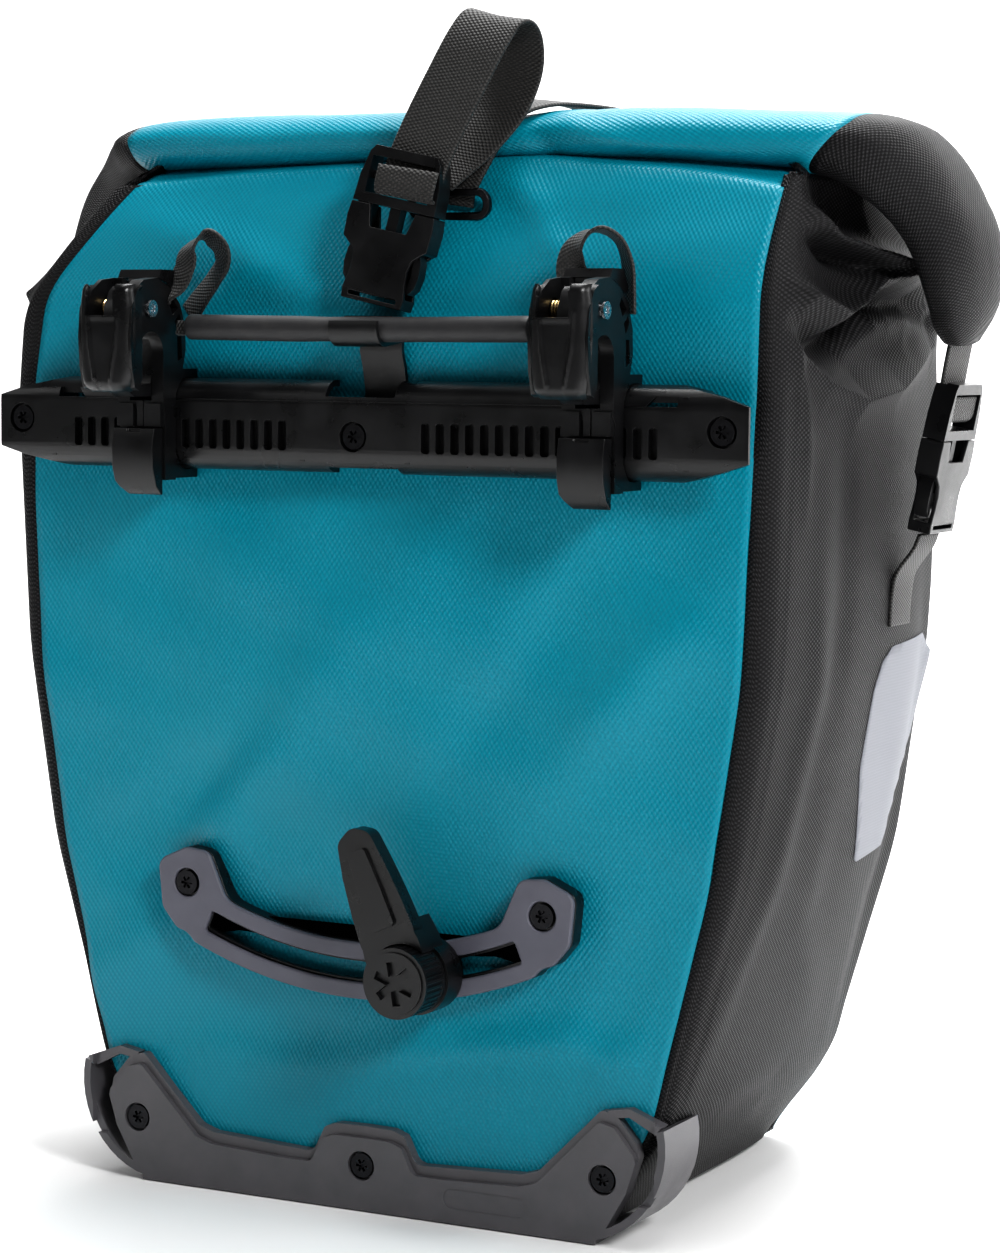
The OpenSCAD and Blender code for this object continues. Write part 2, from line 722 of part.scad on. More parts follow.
// Webbing wrapped round the plug's bar, in the buckle's own [y, z]
web_wrap = [[-2.7, 51.6], [-2.7, 44.6], [-1.7, 42.7], [0, 42], [1.7, 42.7], [2.7, 44.6], [2.7, 52], [3, 58]];

// Handle loop of webbing that stands above the plug
module strap_loop() {
    path = concat(
        web_wrap, [[3.4, 72], [5.4, 88]], arc([15, 93], 9.4, 172, -8, 12), [[22, 80], [14, 70], [9, 62]]
    );
    color(webbing_black) closure_buckle() along_x(0, strap_w) polygon(ribbon(path, same(strap_t, path)));
}

// Webbing from the front panel, over the roll and down to the ring
module closure_strap() {
    r = roll_t / 2 + 1.2;
    back_c = [roll_y - (roll_w - roll_t) / 2, roll_z];
    front_c = [roll_y + (roll_w - roll_t) / 2, roll_z];
    path = concat(
        [for (z = [205, 262, 327]) [front_y(z) + 1.3, z]],
        [[front_shoulder_y + 0.8, shoulder_z + 1.6], [front_y(340) + 2.4, 340], [front_top_y + 14, mouth_z - 8]],
        arc(front_c, r, 0, 90, 8), arc(back_c, r, 90, 180, 8), [[18.4, mouth_z + 5], [12.4, 381]]
    );
    color(webbing_black) along_x(strap_x + 20, strap_w) polygon(ribbon(path, same(strap_t, path)));
}

// Oval ring in the end of the closure strap
ring_y = 8.2;
ring_z = 377.4;
module d_ring() {
    color(steel) translate([strap_x + 20, ring_y, ring_z]) rotate([8, 0, 0]) along_y(-1.4, 2.8) difference() {
        translate([0, -3.6]) rounded_2d(34, 11.6, 5.4);
        translate([0, -3.6]) rounded_2d(28.4, 6, 2.6);
    }
}

// ---------- side straps ----------
side_x = 176;          // socket's foot
side_socket_z = 255;
side_lean = 11;        // the side buckles lean outwards at the top
module side_frame(side) {
    scale_x(side) translate([side_x, side_y, side_socket_z]) rotate([0, side_lean, 0]) rotate([0, 0, 90]) children();
}

module side_socket(side) {
    side_frame(side) buckle_socket_body();
}

module side_plug(side) {
    side_frame(side) buckle_plug_body();
}

// A point of the side buckle's [y, z] frame, seen from behind
function side_pt(p) = [
    side_x - p[0] * cos(side_lean) + p[1] * sin(side_lean),
    side_socket_z + p[0] * sin(side_lean) + p[1] * cos(side_lean)
];

// Webbing between the plug and the pocket in the roll's end
module side_strap(side) {
    path = concat([for (p = web_wrap) side_pt(p)], [side_pt([3, 88])]);
    color(webbing_black) scale_x(side) along_y(side_y - strap_w / 2, strap_w) polygon(ribbon(path, same(strap_t, path)));
}

// Webbing sewn to the gusset that holds the side socket
module side_anchor(side) {
    h = half_width(222) + 1.2;
    path = [[h, 220], [h + 0.6, 232], [side_x - 6, 242], [side_x - 1.4, side_socket_z - 3.6], [side_x - 0.4, side_socket_z - 0.8]];
    color(webbing_black) scale_x(side)
        along_y(side_y - strap_w / 2 + 2, strap_w - 4) polygon(ribbon(path, same(strap_t, path)));
}

// ---------- foot rail and foot hook ----------
arc_c = [0, arc_low_z + arc_r];
foot_rail_t = 7;
foot_face_t = 2.6;
foot_face_y = -foot_rail_t - foot_face_t;
foot_screw_x = 75.5;
foot_screw_z = 118;
foot_half = 22.5;      // half angle of the slot's centreline
body_half = 10.6;      // half width of the arc's body

// Rounds the outer and inner corners of a flat outline
module soft_2d(outer_r, inner_r) {
    offset(r = -inner_r) offset(delta = inner_r) offset(r = outer_r) offset(delta = -outer_r) children();
}

// Outline of the foot rail, with a lobe for each screw
module foot_rail_2d(slot_half = 3.2) {
    difference() {
        soft_2d(5, 9) union() {
            polygon(concat(
                arc(arc_c, arc_r + body_half, 270 - foot_half - 2, 270 + foot_half + 2, 24),
                arc(arc_c, arc_r - body_half, 270 + foot_half + 2, 270 - foot_half - 2, 24)
            ));
            for (s = [-1, 1]) polygon([
                [s * 62, 96.6], [s * 80, 100], [s * 86.6, 108], [s * 88.4, 126], [s * 76, 131.6],
                [s * 66, 130.6], [s * 59, 114.4]
            ]);
        }
        polygon(concat(
            arc(arc_c, arc_r + slot_half, 270 - foot_half, 270 + foot_half, 24),
            arc(arc_c, arc_r - slot_half, 270 + foot_half, 270 - foot_half, 24)
        ));
        for (s = [-1, 1]) translate([s * foot_screw_x, foot_screw_z]) circle(r = 2.6);
    }
}

module foot_rail() {
    color(black_plastic) difference() {
        along_y(-foot_rail_t, foot_rail_t - 0.1) foot_rail_2d();
        // track for the slider behind the slot
        along_y(-4.2, 5) polygon(concat(
            arc(arc_c, arc_r + 6.4, 270 - foot_half, 270 + foot_half, 24),
            arc(arc_c, arc_r - 6.4, 270 + foot_half, 270 - foot_half, 24)
        ));
    }
}

module foot_rail_face() {
    color(grey_plastic) difference() {
        along_y(foot_face_y, foot_face_t) foot_rail_2d(4.3);
        for (s = [-1, 1]) rod_y(s * foot_screw_x, foot_face_y - 1, foot_screw_z, 5.4, foot_face_t + 2);
    }
}

module foot_rail_screws() {
    color("#2a2a2c") for (s = [-1, 1]) screw(s * foot_screw_x, -9.4, foot_screw_z, 4.6, 2.4, 14);
}

module foot_rail_nuts() {
    color(steel) for (s = [-1, 1]) back_nut(s * foot_screw_x, nut_y, foot_screw_z);
}

foot_x = arc_r * sin(foot_angle);
foot_z = arc_c[1] - arc_r * cos(foot_angle);

// Block that runs in the track, with the threaded stud
module foot_slider() {
    color(steel) union() {
        translate([foot_x, -2.2, foot_z]) rotate([0, -foot_angle, 0]) cube([18, 3.4, 11], center = true);
        translate([foot_x, -6.6, foot_z]) rotate([0, -foot_angle, 0]) cube([12, 6.2, 5.4], center = true);
        rod_y(foot_x, -33, foot_z, 2.9, 25);
    }
}

// Foot hook: a ring on the stud and a finger that catches a rack strut
module foot_hook() {
    color(black_plastic) difference() {
        union() {
            rod_y(foot_x, -21, foot_z, 14, 11);
            translate([foot_x, 0, foot_z]) rotate([0, -foot_lean, 0]) {
                // root of the finger
                along_y(-30, 16) polygon([[-11.6, 3], [11.6, 3], [12, 12], [10.6, 20], [-10.6, 20], [-12, 12]]);
                along_y(-30, 7) soft_2d(5, 1) polygon([
                    [-12, 12], [12, 12], [11, 28], [9.4, 42], [7.4, 55], [1, 58.6], [-6.6, 55], [-9.4, 42], [-11, 28]
                ]);
                // raised flute on the face
                along_y(-31.4, 2) soft_2d(1.6, 0.5) polygon([[-4.4, 20], [5.4, 20], [5, 34], [4, 50], [-3.4, 50], [-4.4, 34]]);
            }
        }
        rod_y(foot_x, -40, foot_z, 2.96, 40);
        // seat for the knob
        rod_y(foot_x, -40, foot_z, 13.6, 19);
    }
}

// Knurled knob with a cross-shaped grip recess
knob_r = 13;
module foot_knob() {
    color(black_plastic) difference() {
        union() {
            rod_y(foot_x, -36, foot_z, knob_r, 14.7);
            rod_y(foot_x, -36.8, foot_z, knob_r - 1.6, 2);
        }
        for (i = [0:35])
            translate([foot_x, 0, foot_z]) rotate([0, i * 10, 0]) translate([knob_r + 0.3, 0, 0]) rod_y(0, -35, 0, 0.8, 12);
        for (a = [20, 80, 140])
            translate([foot_x, -36.8, foot_z]) rotate([0, a, 0]) cube([16, 4, 3.2], center = true);
        rod_y(foot_x, -33.4, foot_z, 2.96, 19);
    }
}

// ---------- edge protector ----------
protector_depth = 30;     // how far its flange reaches under the bag
protector_t = 7;
protector_screw_x = 99.5;
protector_low_z = 17;
function protector_screw_z(x) = x == 0 ? protector_low_z : protector_low_z + 7;
bumper_c = [88, 37];
bumper_r = 36.4;

// Right half of the protector's face
protector_half = [
    [0, 0.8], [93, 0.8], [101, 6], [109, 20], [113, 33], [112, 38], [104, 47.5], [98, 49],
    [73, 23.6], [66, 21.4], [22, 19.4], [17, 29.6], [12, 31.4], [0, 31.6]
];

module protector_face_2d() {
    soft_2d(2.4, 5) polygon(concat(protector_half, reversed([for (p = protector_half) mirrored(p)])));
}

module edge_protector() {
    color(black_plastic) difference() {
        union() {
            along_y(-protector_t, protector_t - 0.1) protector_face_2d();
            // flange under the base
            span([-93, -protector_t, 0], [93, protector_depth, 2.4]);
            // bumper loops round the cut corners
            for (s = [-1, 1]) scale_x(s) {
                along_y(-protector_t, protector_depth) polygon(concat(
                    arc(bumper_c, bumper_r, 12, -78, 12), arc(bumper_c, bumper_r - 3, -78, 12, 12)
                ));
                along_y(-protector_t, protector_t - 0.3) polygon([
                    [119.6, 42], [122.4, 45.6], [109, 50.6], [100, 49], [103, 46.6], [109, 47.4]
                ]);
                span([84, -protector_t, 0], [97, protector_depth - protector_t, 2.3]);
            }
        }
        // step along the top edge
        along_y(-protector_t - 1, 3.4) difference() {
            translate([-120, 10]) square([240, 45]);
            translate([0, -4]) protector_face_2d();
            for (x = [-protector_screw_x, 0, protector_screw_x]) translate([x, protector_screw_z(x)]) circle(r = 9);
            translate([-200, -100]) square([400, 116]);
        }
        for (x = [-protector_screw_x, 0, protector_screw_x]) {
            rod_y(x, -protector_t - 1, protector_screw_z(x), 5.6, 4.4);
            rod_y(x, -protector_t - 1, protector_screw_z(x), 2.6, 12);
        }
        // oval recess to the right of the middle
        translate([52, -protector_t, 9.4]) rotate([90, 0, 0]) linear_extrude(0.6, center = true) rounded_2d(34, 7.4, 3.6);
    }
}

module protector_screws() {
    color("#2a2a2c") for (x = [-protector_screw_x, 0, protector_screw_x])
        screw(x, -protector_t + 0.6, protector_screw_z(x), 4.6, 2.6, 12);
}

// The outer two screws bite straight into the seam, so only the middle one has a nut
module protector_nut() {
    color(steel) back_nut(0, nut_y, protector_screw_z(0));
}

// ---------- nodes ----------
place() {
    back_panel();
    front_panel();
    gusset(-1);  // left_gusset
    gusset(1);  // right_gusset
    base_panel();
    back_stiffener();
    inner_pocket();
    closure_roll();
    roll_end(-1);  // left_roll_end
    roll_end(1);  // right_roll_end
    reflector(-1);  // left_reflector
    reflector(1);  // right_reflector
    top_rail();
    rail_screws();
    rail_nuts();
    hook(left_hook_x);  // left_hook
    hook(right_hook_x);  // right_hook
    lever(left_hook_x);  // left_lever
    lever(right_hook_x);  // right_lever
    lever_pin(left_hook_x);  // left_lever_pin
    lever_pin(right_hook_x);  // right_lever_pin
    lever_spring(left_hook_x);  // left_lever_spring
    lever_spring(right_hook_x);  // right_lever_spring
    rail_latch(left_hook_x);  // left_rail_latch
    rail_latch(right_hook_x);  // right_rail_latch
    lever_strap(left_hook_x, 28);  // left_lever_strap
    lever_strap(right_hook_x, 0);  // right_lever_strap
    handle_tube();
    handle_strap();
    anchor_strip();
    buckle_socket();
    buckle_plug();
    strap_loop();
    closure_strap();
    d_ring();
    side_socket(-1);  // left_side_socket
    side_socket(1);  // right_side_socket
    side_plug(-1);  // left_side_plug
    side_plug(1);  // right_side_plug
    side_strap(-1);  // left_side_strap
    side_strap(1);  // right_side_strap
    side_anchor(-1);  // left_side_anchor
    side_anchor(1);  // right_side_anchor
    foot_rail();
    foot_rail_face();
    foot_rail_screws();
    foot_rail_nuts();
    foot_slider();
    foot_hook();
    foot_knob();
    edge_protector();
    protector_screws();
    protector_nut();
}
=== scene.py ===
"""Roll-top pannier bag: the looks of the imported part, laid out as an add-on and run as a script."""

import json
import math

import bmesh
import bpy
import numpy as np
from mathutils import Matrix, Vector


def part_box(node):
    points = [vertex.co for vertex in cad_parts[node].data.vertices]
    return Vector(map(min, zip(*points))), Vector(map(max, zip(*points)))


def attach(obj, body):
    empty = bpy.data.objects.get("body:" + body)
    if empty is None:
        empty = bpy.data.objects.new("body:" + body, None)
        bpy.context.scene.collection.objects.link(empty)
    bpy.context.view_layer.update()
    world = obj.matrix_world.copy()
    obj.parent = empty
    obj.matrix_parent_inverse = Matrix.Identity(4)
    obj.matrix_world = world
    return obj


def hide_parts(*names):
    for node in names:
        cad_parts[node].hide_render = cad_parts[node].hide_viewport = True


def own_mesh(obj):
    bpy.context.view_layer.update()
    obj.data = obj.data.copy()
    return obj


bl_info = {
    "name": "Roll-top pannier bag",
    "version": (1, 0, 0),
    "blender": (4, 5, 0),
    "location": "3D View > Sidebar > Pannier",
    "description": "Builds a roll-top bicycle pannier around its packed frame",
    "category": "Add Mesh",
}

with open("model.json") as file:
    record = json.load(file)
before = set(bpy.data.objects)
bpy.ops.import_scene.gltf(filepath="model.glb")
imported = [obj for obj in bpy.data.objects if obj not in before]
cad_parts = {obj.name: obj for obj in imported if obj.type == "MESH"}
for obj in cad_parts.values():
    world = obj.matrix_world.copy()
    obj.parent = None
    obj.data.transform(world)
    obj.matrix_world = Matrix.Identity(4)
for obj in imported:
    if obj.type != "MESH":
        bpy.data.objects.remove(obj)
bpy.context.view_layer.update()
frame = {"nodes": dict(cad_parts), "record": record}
MM = 0.001
Y_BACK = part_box("back_panel")[0].y  # outer face of the back panel
BODY_OF = {n: b for b, ns in frame["record"]["behaviour"]["bodies"].items() for n in ns}


# ---------------------------------------------------------------- small tools


def linear(hex_colour):
    """An sRGB hex colour, or one of the panel's colours, as the linear colour that a shader socket takes."""
    if not isinstance(hex_colour, str):
        return tuple(hex_colour)
    value = hex_colour.lstrip("#")
    channels = [int(value[i : i + 2], 16) / 255 for i in (0, 2, 4)]
    curve = [c / 12.92 if c <= 0.04045 else ((c + 0.055) / 1.055) ** 2.4 for c in channels]
    return (*curve, 1.0)


def spline(points, count):
    """A smooth curve through the points, as count rows."""
    p = np.array(points, float)
    if len(p) == 2:
        return p[0] + (p[1] - p[0]) * np.linspace(0, 1, count)[:, None]
    ends = np.vstack([2 * p[0] - p[1], p, 2 * p[-1] - p[-2]])
    chord = np.concatenate([[0], np.cumsum(np.linalg.norm(np.diff(p, axis=0), axis=1))])
    out = []
    for s in np.linspace(0, chord[-1], count):
        i = min(int(np.searchsorted(chord, s, side="right")) - 1, len(p) - 2)
        t = (s - chord[i]) / max(chord[i + 1] - chord[i], 1e-9)
        a, b, c, d = ends[i : i + 4]
        out.append(
            0.5 * (2 * b + (c - a) * t + (2 * a - 5 * b + 4 * c - d) * t * t + (3 * b - a - 3 * c + d) * t**3)
        )
    return np.array(out)


def table(pairs, soft=0.0):
    """A function that reads the (key, value) pairs in between, rounded off over a distance of soft."""
    keys, values = np.array(pairs, float).T

    def read(x):
        if soft <= 0:
            return np.interp(x, keys, values)
        return sum(np.interp(np.asarray(x) + d, keys, values) for d in np.linspace(-soft, soft, 9)) / 9

    return read


def bump(distance, width):
    """A smooth hump, 1 in the middle and 0 far away."""
    return np.exp(-((distance / width) ** 2))


def to_line(a, b, points):
    """Distance from each flat point in (u, v) to a polyline, and how far along it is, from 0 to 1."""
    line = np.array(points, float)
    steps = np.linalg.norm(np.diff(line, axis=0), axis=1)
    total = steps.sum()
    best = np.full(np.shape(a), 1e9)
    along = np.zeros(np.shape(a))
    done = 0.0
    for p, q, step in zip(line[:-1], line[1:], steps):
        d = q - p
        t = np.clip(((a - p[0]) * d[0] + (b - p[1]) * d[1]) / step**2, 0, 1)
        gap = np.hypot(a - p[0] - t * d[0], b - p[1] - t * d[1])
        closer = gap < best
        best = np.where(closer, gap, best)
        along = np.where(closer, (done + t * step) / total, along)
        done += step
    return best, along


def fold(a, b, points, height, width, crisp=False):
    """A fold along a polyline: full height in its middle, dying away at both ends; crisp ones have a crest."""
    gap, along = to_line(a, b, points)
    shape = np.exp(-((gap / width) ** 1.15)) if crisp else bump(gap, width)
    return height * shape * np.sin(math.pi * np.clip(along, 0.04, 0.96)) ** 0.6


def ripple(a, b, seed, size):
    """Slow, repeatable unevenness between -1 and 1, about size millimetres from crest to crest."""
    rng = np.random.default_rng(seed)
    total = np.zeros(np.shape(a))
    for _ in range(7):
        angle, phase, stretch = rng.uniform(0, math.pi), rng.uniform(0, 6.28), rng.uniform(0.7, 1.6)
        total = total + np.sin((a * math.cos(angle) + b * math.sin(angle)) * 6.28 / (size * stretch) + phase)
    return total / 5


def to_frame(points):
    """Bag millimetres, with y = 0 on the back panel, to metres in the row frame."""
    p = np.array(points, float).reshape(-1, 3) * MM
    p[:, 1] += Y_BACK
    return p


def make_object(name, mesh, material, body, nodes=()):
    """Links a mesh as a piece that rides on a body and stands for the given CAD nodes."""
    piece = bpy.data.objects.new(name, mesh)
    bpy.context.scene.collection.objects.link(piece)
    mesh.materials.append(material)
    mesh.shade_smooth()
    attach(piece, body)
    if nodes:
        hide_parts(*nodes)
    return piece


def build_mesh(name, points, faces, uvs=None):
    """A mesh from bag millimetres; uvs are one (u, v) in millimetres per point, or per face corner."""
    mesh = bpy.data.meshes.new(name)
    mesh.from_pydata([tuple(p) for p in to_frame(points)], [], [tuple(map(int, f)) for f in faces])
    if uvs is not None:
        layer = mesh.uv_layers.new(name="cloth")
        flat = np.array(uvs, float).reshape(-1, 2) * MM
        corner = np.empty(len(mesh.loops), int)
        mesh.loops.foreach_get("vertex_index", corner)
        values = flat if len(flat) == len(mesh.loops) and len(flat) != len(mesh.vertices) else flat[corner]
        layer.data.foreach_set("uv", values.ravel())
    mesh.validate()
    mesh.update()
    return mesh


def grid_faces(rows, columns, wrap=False):
    """Quads of a grid of points stored row by row; wrap joins the last column to the first."""
    faces = []
    last = columns if wrap else columns - 1
    for i in range(rows - 1):
        for j in range(last):
            k = (j + 1) % columns
            faces.append((i * columns + j, i * columns + k, (i + 1) * columns + k, (i + 1) * columns + j))
    return faces


def surface_lengths(points):
    """UVs for a grid of points: arc length along each direction, in millimetres."""
    rows, columns = points.shape[:2]
    steps_u = np.linalg.norm(np.diff(points, axis=1), axis=2)
    steps_v = np.linalg.norm(np.diff(points, axis=0), axis=2)
    u = np.concatenate([np.zeros((rows, 1)), np.cumsum(steps_u, 1)], 1)
    v = np.concatenate([np.zeros((1, columns)), np.cumsum(steps_v, 0)], 0)
    u = u - u[:, columns // 2][:, None]
    return np.stack([u, v], 2)


def add_modifier(piece, kind, **settings):
    """Adds a modifier with its settings."""
    modifier = piece.modifiers.new(kind.title(), kind)
    for key, value in settings.items():
        setattr(modifier, key, value)
    return modifier


def cloth_sheet(name, points, material, body, nodes, thickness, offset, lie=None):
    """A sheet of fabric over a grid of points, with real thickness."""
    rows, columns = points.shape[:2]
    uvs = (surface_lengths(points) if lie is None else lie).reshape(-1, 2)
    mesh = build_mesh(name, points.reshape(-1, 3), grid_faces(rows, columns), uvs)
    piece = make_object(name, mesh, material, body, nodes)
    add_modifier(piece, "SOLIDIFY", thickness=thickness * MM, offset=offset)
    return piece


def ribbon_rings(path, across, width, thickness):
    """Rings of a flat strap along a path: twelve points each, with rounded edges."""
    path = np.array(path, float)
    across = np.broadcast_to(np.array(across, float), path.shape)
    width = np.broadcast_to(np.array(width, float), (len(path),))
    tangent = np.gradient(path, axis=0)
    tangent /= np.linalg.norm(tangent, axis=1)[:, None]
    side = across - (across * tangent).sum(1)[:, None] * tangent
    side /= np.linalg.norm(side, axis=1)[:, None]
    normal = np.cross(tangent, side)
    half = thickness / 2
    profile = []
    for s, t in [(-1, -0.35), (-0.97, -0.85), (-0.9, -1), (0, -1), (0.9, -1), (0.97, -0.85),
                 (1, 0.35), (0.97, 0.85), (0.9, 1), (0, 1), (-0.9, 1), (-0.97, 0.85)]:
        profile.append((s, t))
    rings = []
    for c, w, s, n in zip(path, width, side, normal):
        rings.append([c + s * a * w / 2 + n * b * half for a, b in profile])
    return np.array(rings), profile


def webbing(name, path, across, width, thickness, material, body, nodes=()):
    """A length of webbing along a path, closed at both ends."""
    rings, profile = ribbon_rings(path, across, width, thickness)
    count, sides = rings.shape[:2]
    length = np.concatenate([[0], np.cumsum(np.linalg.norm(np.diff(np.array(path, float), axis=0), axis=1))])
    w = np.broadcast_to(np.array(width, float), (count,))
    uvs = np.array([[(a * w[i] / 2, length[i]) for a, _ in profile] for i in range(count)])
    faces = grid_faces(count, sides, wrap=True)
    faces.append(tuple(reversed(range(sides))))
    faces.append(tuple((count - 1) * sides + k for k in range(sides)))
    mesh = build_mesh(name, rings.reshape(-1, 3), faces, uvs.reshape(-1, 2))
    return make_object(name, mesh, material, body, nodes)


def lofted(name, rings, material, body, nodes, caps=True):
    """A closed skin through rings of points."""
    rings = np.array(rings, float)
    count, sides = rings.shape[:2]
    faces = grid_faces(count, sides, wrap=True)
    if caps:
        faces.append(tuple(reversed(range(sides))))
        faces.append(tuple((count - 1) * sides + k for k in range(sides)))
    mesh = build_mesh(name, rings.reshape(-1, 3), faces, surface_lengths(rings).reshape(-1, 2))
    bm = bmesh.new()
    bm.from_mesh(mesh)
    bmesh.ops.recalc_face_normals(bm, faces=bm.faces)
    bm.to_mesh(mesh)
    bm.free()
    return make_object(name, mesh, material, body, nodes)


def softened_copy(node, name, material, edge=0.35, angle=32):
    """A moulded piece: the CAD node's shape with its sharp edges rounded as a mould leaves them."""
    mesh = frame["nodes"][node].data.copy()
    mesh.materials.clear()
    bm = bmesh.new()
    bm.from_mesh(mesh)
    bmesh.ops.remove_doubles(bm, verts=bm.verts, dist=0.00002)
    bmesh.ops.dissolve_limit(bm, angle_limit=math.radians(1.5), verts=bm.verts, edges=bm.edges)
    bm.to_mesh(mesh)
    bm.free()
    piece = make_object(name, mesh, material, BODY_OF[node], (node,))
    add_modifier(piece, "BEVEL", width=edge * MM, segments=2, limit_method="ANGLE",
                 angle_limit=math.radians(angle), harden_normals=False, miter_outer="MITER_ARC")
    add_modifier(piece, "WEIGHTED_NORMAL", keep_sharp=False, weight=60)
    return piece


def finish_node(node, material):
    """Gives a CAD node that is shown as it is a better material."""
    data = frame["nodes"][node].data
    data.materials.clear()
    data.materials.append(material)


# ---------------------------------------------------------------- materials


def add_node(tree, kind, settings=None, links=None):
    """Adds a shader node, sets its properties and sockets and links its inputs; "#2" is its third input."""
    node = tree.nodes.new("ShaderNode" + kind)
    for key, value in (settings or {}).items():
        if hasattr(node, key) and not key[0].isupper():
            setattr(node, key, value)
        else:
            node.inputs[int(key[1:]) if key[0] == "#" else key].default_value = value
    for key, source in (links or {}).items():
        tree.links.new(source, node.inputs[int(key[1:]) if key[0] == "#" else key])
    return node.outputs


def new_material(name, colour, roughness, metallic=0.0, ior=1.5, **sockets):
    """A material with one Principled shader; returns it with its tree and shader."""
    material = bpy.data.materials.new(name)
    material.use_nodes = True
    tree = material.node_tree
    shader = tree.nodes["Principled BSDF"]
    shader.inputs["Base Color"].default_value = linear(colour)
    shader.inputs["Roughness"].default_value = roughness
    shader.inputs["Metallic"].default_value = metallic
    shader.inputs["IOR"].default_value = ior
    for key, value in sockets.items():
        shader.inputs[key.replace("_", " ")].default_value = value
    return material, tree, shader


def feed(tree, shader, links):
    """Links node outputs into the shader's own sockets."""
    for key, source in links.items():
        tree.links.new(source, shader.inputs[key])


def thread_pattern(tree, u_step, v_step, diagonal=False):
    """Height of a weave from the cloth's UVs, -1 to 1: threads cross over and under every step, in mm."""
    uv = add_node(tree, "UVMap", {"uv_map": "cloth"})[0]
    lanes = add_node(tree, "SeparateXYZ", links={"#0": uv})
    lanes = [lanes[0], lanes[1]]
    if diagonal:
        lanes = [add_node(tree, "Math", {"operation": way}, {"#0": lanes[0], "#1": lanes[1]})[0]
                 for way in ("ADD", "SUBTRACT")]
    waves = []
    for lane, step in zip(lanes, (u_step, v_step)):
        turn = add_node(tree, "Math", {"operation": "MULTIPLY", "#1": math.pi / (step * MM)}, {"#0": lane})[0]
        waves.append(add_node(tree, "Math", {"operation": "SINE"}, {"#0": turn})[0])
    return add_node(tree, "Math", {"operation": "MULTIPLY"}, {"#0": waves[0], "#1": waves[1]})[0], uv


def coated_polyester(name, colour, light):
    """PVC-coated polyester, calendered: the coating shines softly and the weave shows as small dimples, with a
    painted highlight on each crown and a paler random clouding.
    """
    material, tree, shader = new_material(name, colour, 0.32, Specular_IOR_Level=0.25)
    weave, uv = thread_pattern(tree, 1.0, 1.45)  # crowns 2 mm apart along a row, and rows 1.45 mm apart
    cloud = add_node(
        tree, "TexNoise", {"Scale": 1 / (70 * MM), "Detail": 3, "Roughness": 0.55}, {"Vector": uv})["Fac"]
    grit = add_node(
        tree, "TexNoise", {"Scale": 1 / (0.9 * MM), "Detail": 2, "Roughness": 0.55}, {"Vector": uv})["Fac"]
    # painted highlight: the colour turns paler on each crown of the weave
    crown = add_node(tree, "MapRange", {"#1": -0.2, "#2": 1, "#3": -0.1, "#4": 0.5}, {"#0": weave})[0]
    faded = add_node(tree, "MapRange", {"#1": 0.3, "#2": 0.7, "#3": 0, "#4": 0.3}, {"#0": cloud})[0]
    tone = add_node(tree, "Math", {"operation": "ADD"}, {"#0": crown, "#1": faded})[0]
    dye_and_highlight = add_node(
        tree, "Mix", {"data_type": "RGBA", "#6": linear(colour), "#7": linear(light)}, {"#0": tone})[2]
    gloss = add_node(tree, "MapRange", {"#1": 0.3, "#2": 0.7, "#3": 0.28, "#4": 0.38}, {"#0": cloud})[0]
    rise = add_node(tree, "MapRange", {"#1": -1, "#2": 1, "#3": 0, "#4": 0.9}, {"#0": weave})[0]
    height = add_node(tree, "Math", {"operation": "MULTIPLY_ADD", "#1": 0.1}, {"#0": grit, "#2": rise})[0]
    relief = add_node(tree, "Bump", {"Strength": 1, "Distance": 0.22 * MM}, {"Height": height})[0]
    feed(tree, shader, {"Base Color": dye_and_highlight, "Roughness": gloss, "Normal": relief})
    return material


def woven_nylon(name, colour, light):
    """Coarse coated nylon: dull threads, one every 2.2 mm, with a faint shine on each crown: a lower roughness there,
    and a painted highlight in its colour.
    """
    material, tree, shader = new_material(name, colour, 0.5, Specular_IOR_Level=0.18)
    weave, uv = thread_pattern(tree, 1.1, 0.85)
    fibre = add_node(
        tree, "TexNoise", {"Scale": 1 / (0.5 * MM), "Detail": 2, "Roughness": 0.55}, {"Vector": uv})["Fac"]
    size = add_node(tree, "Math", {"operation": "ABSOLUTE"}, {"#0": weave})[0]
    crown = add_node(tree, "Math", {"operation": "POWER", "#1": 0.8}, {"#0": size})[0]
    over = add_node(tree, "MapRange", {"#1": -1, "#2": 1, "#3": 0, "#4": 1}, {"#0": weave})[0]
    # painted highlight: the colour turns paler on the crowns of the threads, by an uneven amount
    top = add_node(tree, "MapRange", {"#1": 0.45, "#2": 1, "#3": 0, "#4": 1}, {"#0": over})[0]
    uneven_highlight = add_node(tree, "MapRange", {"#1": 0.3, "#2": 0.7, "#3": 0.5, "#4": 1}, {"#0": fibre})[0]
    tone = add_node(tree, "Math", {"operation": "MULTIPLY"}, {"#0": top, "#1": uneven_highlight})[0]
    dye_and_highlight = add_node(
        tree, "Mix", {"data_type": "RGBA", "#6": linear(colour), "#7": linear(light)}, {"#0": tone})[2]
    gloss = add_node(tree, "MapRange", {"#1": 0.2, "#2": 1, "#3": 0.65, "#4": 0.38}, {"#0": over})[0]
    low = add_node(tree, "Math", {"operation": "MULTIPLY", "#1": 0.8}, {"#0": over})[0]
    height = add_node(tree, "Math", {"operation": "MULTIPLY_ADD", "#1": 0.2}, {"#0": crown, "#2": low})[0]
    relief = add_node(tree, "Bump", {"Strength": 1, "Distance": 0.45 * MM}, {"Height": height})[0]
    feed(tree, shader, {"Base Color": dye_and_highlight, "Roughness": gloss, "Normal": relief})
    return material


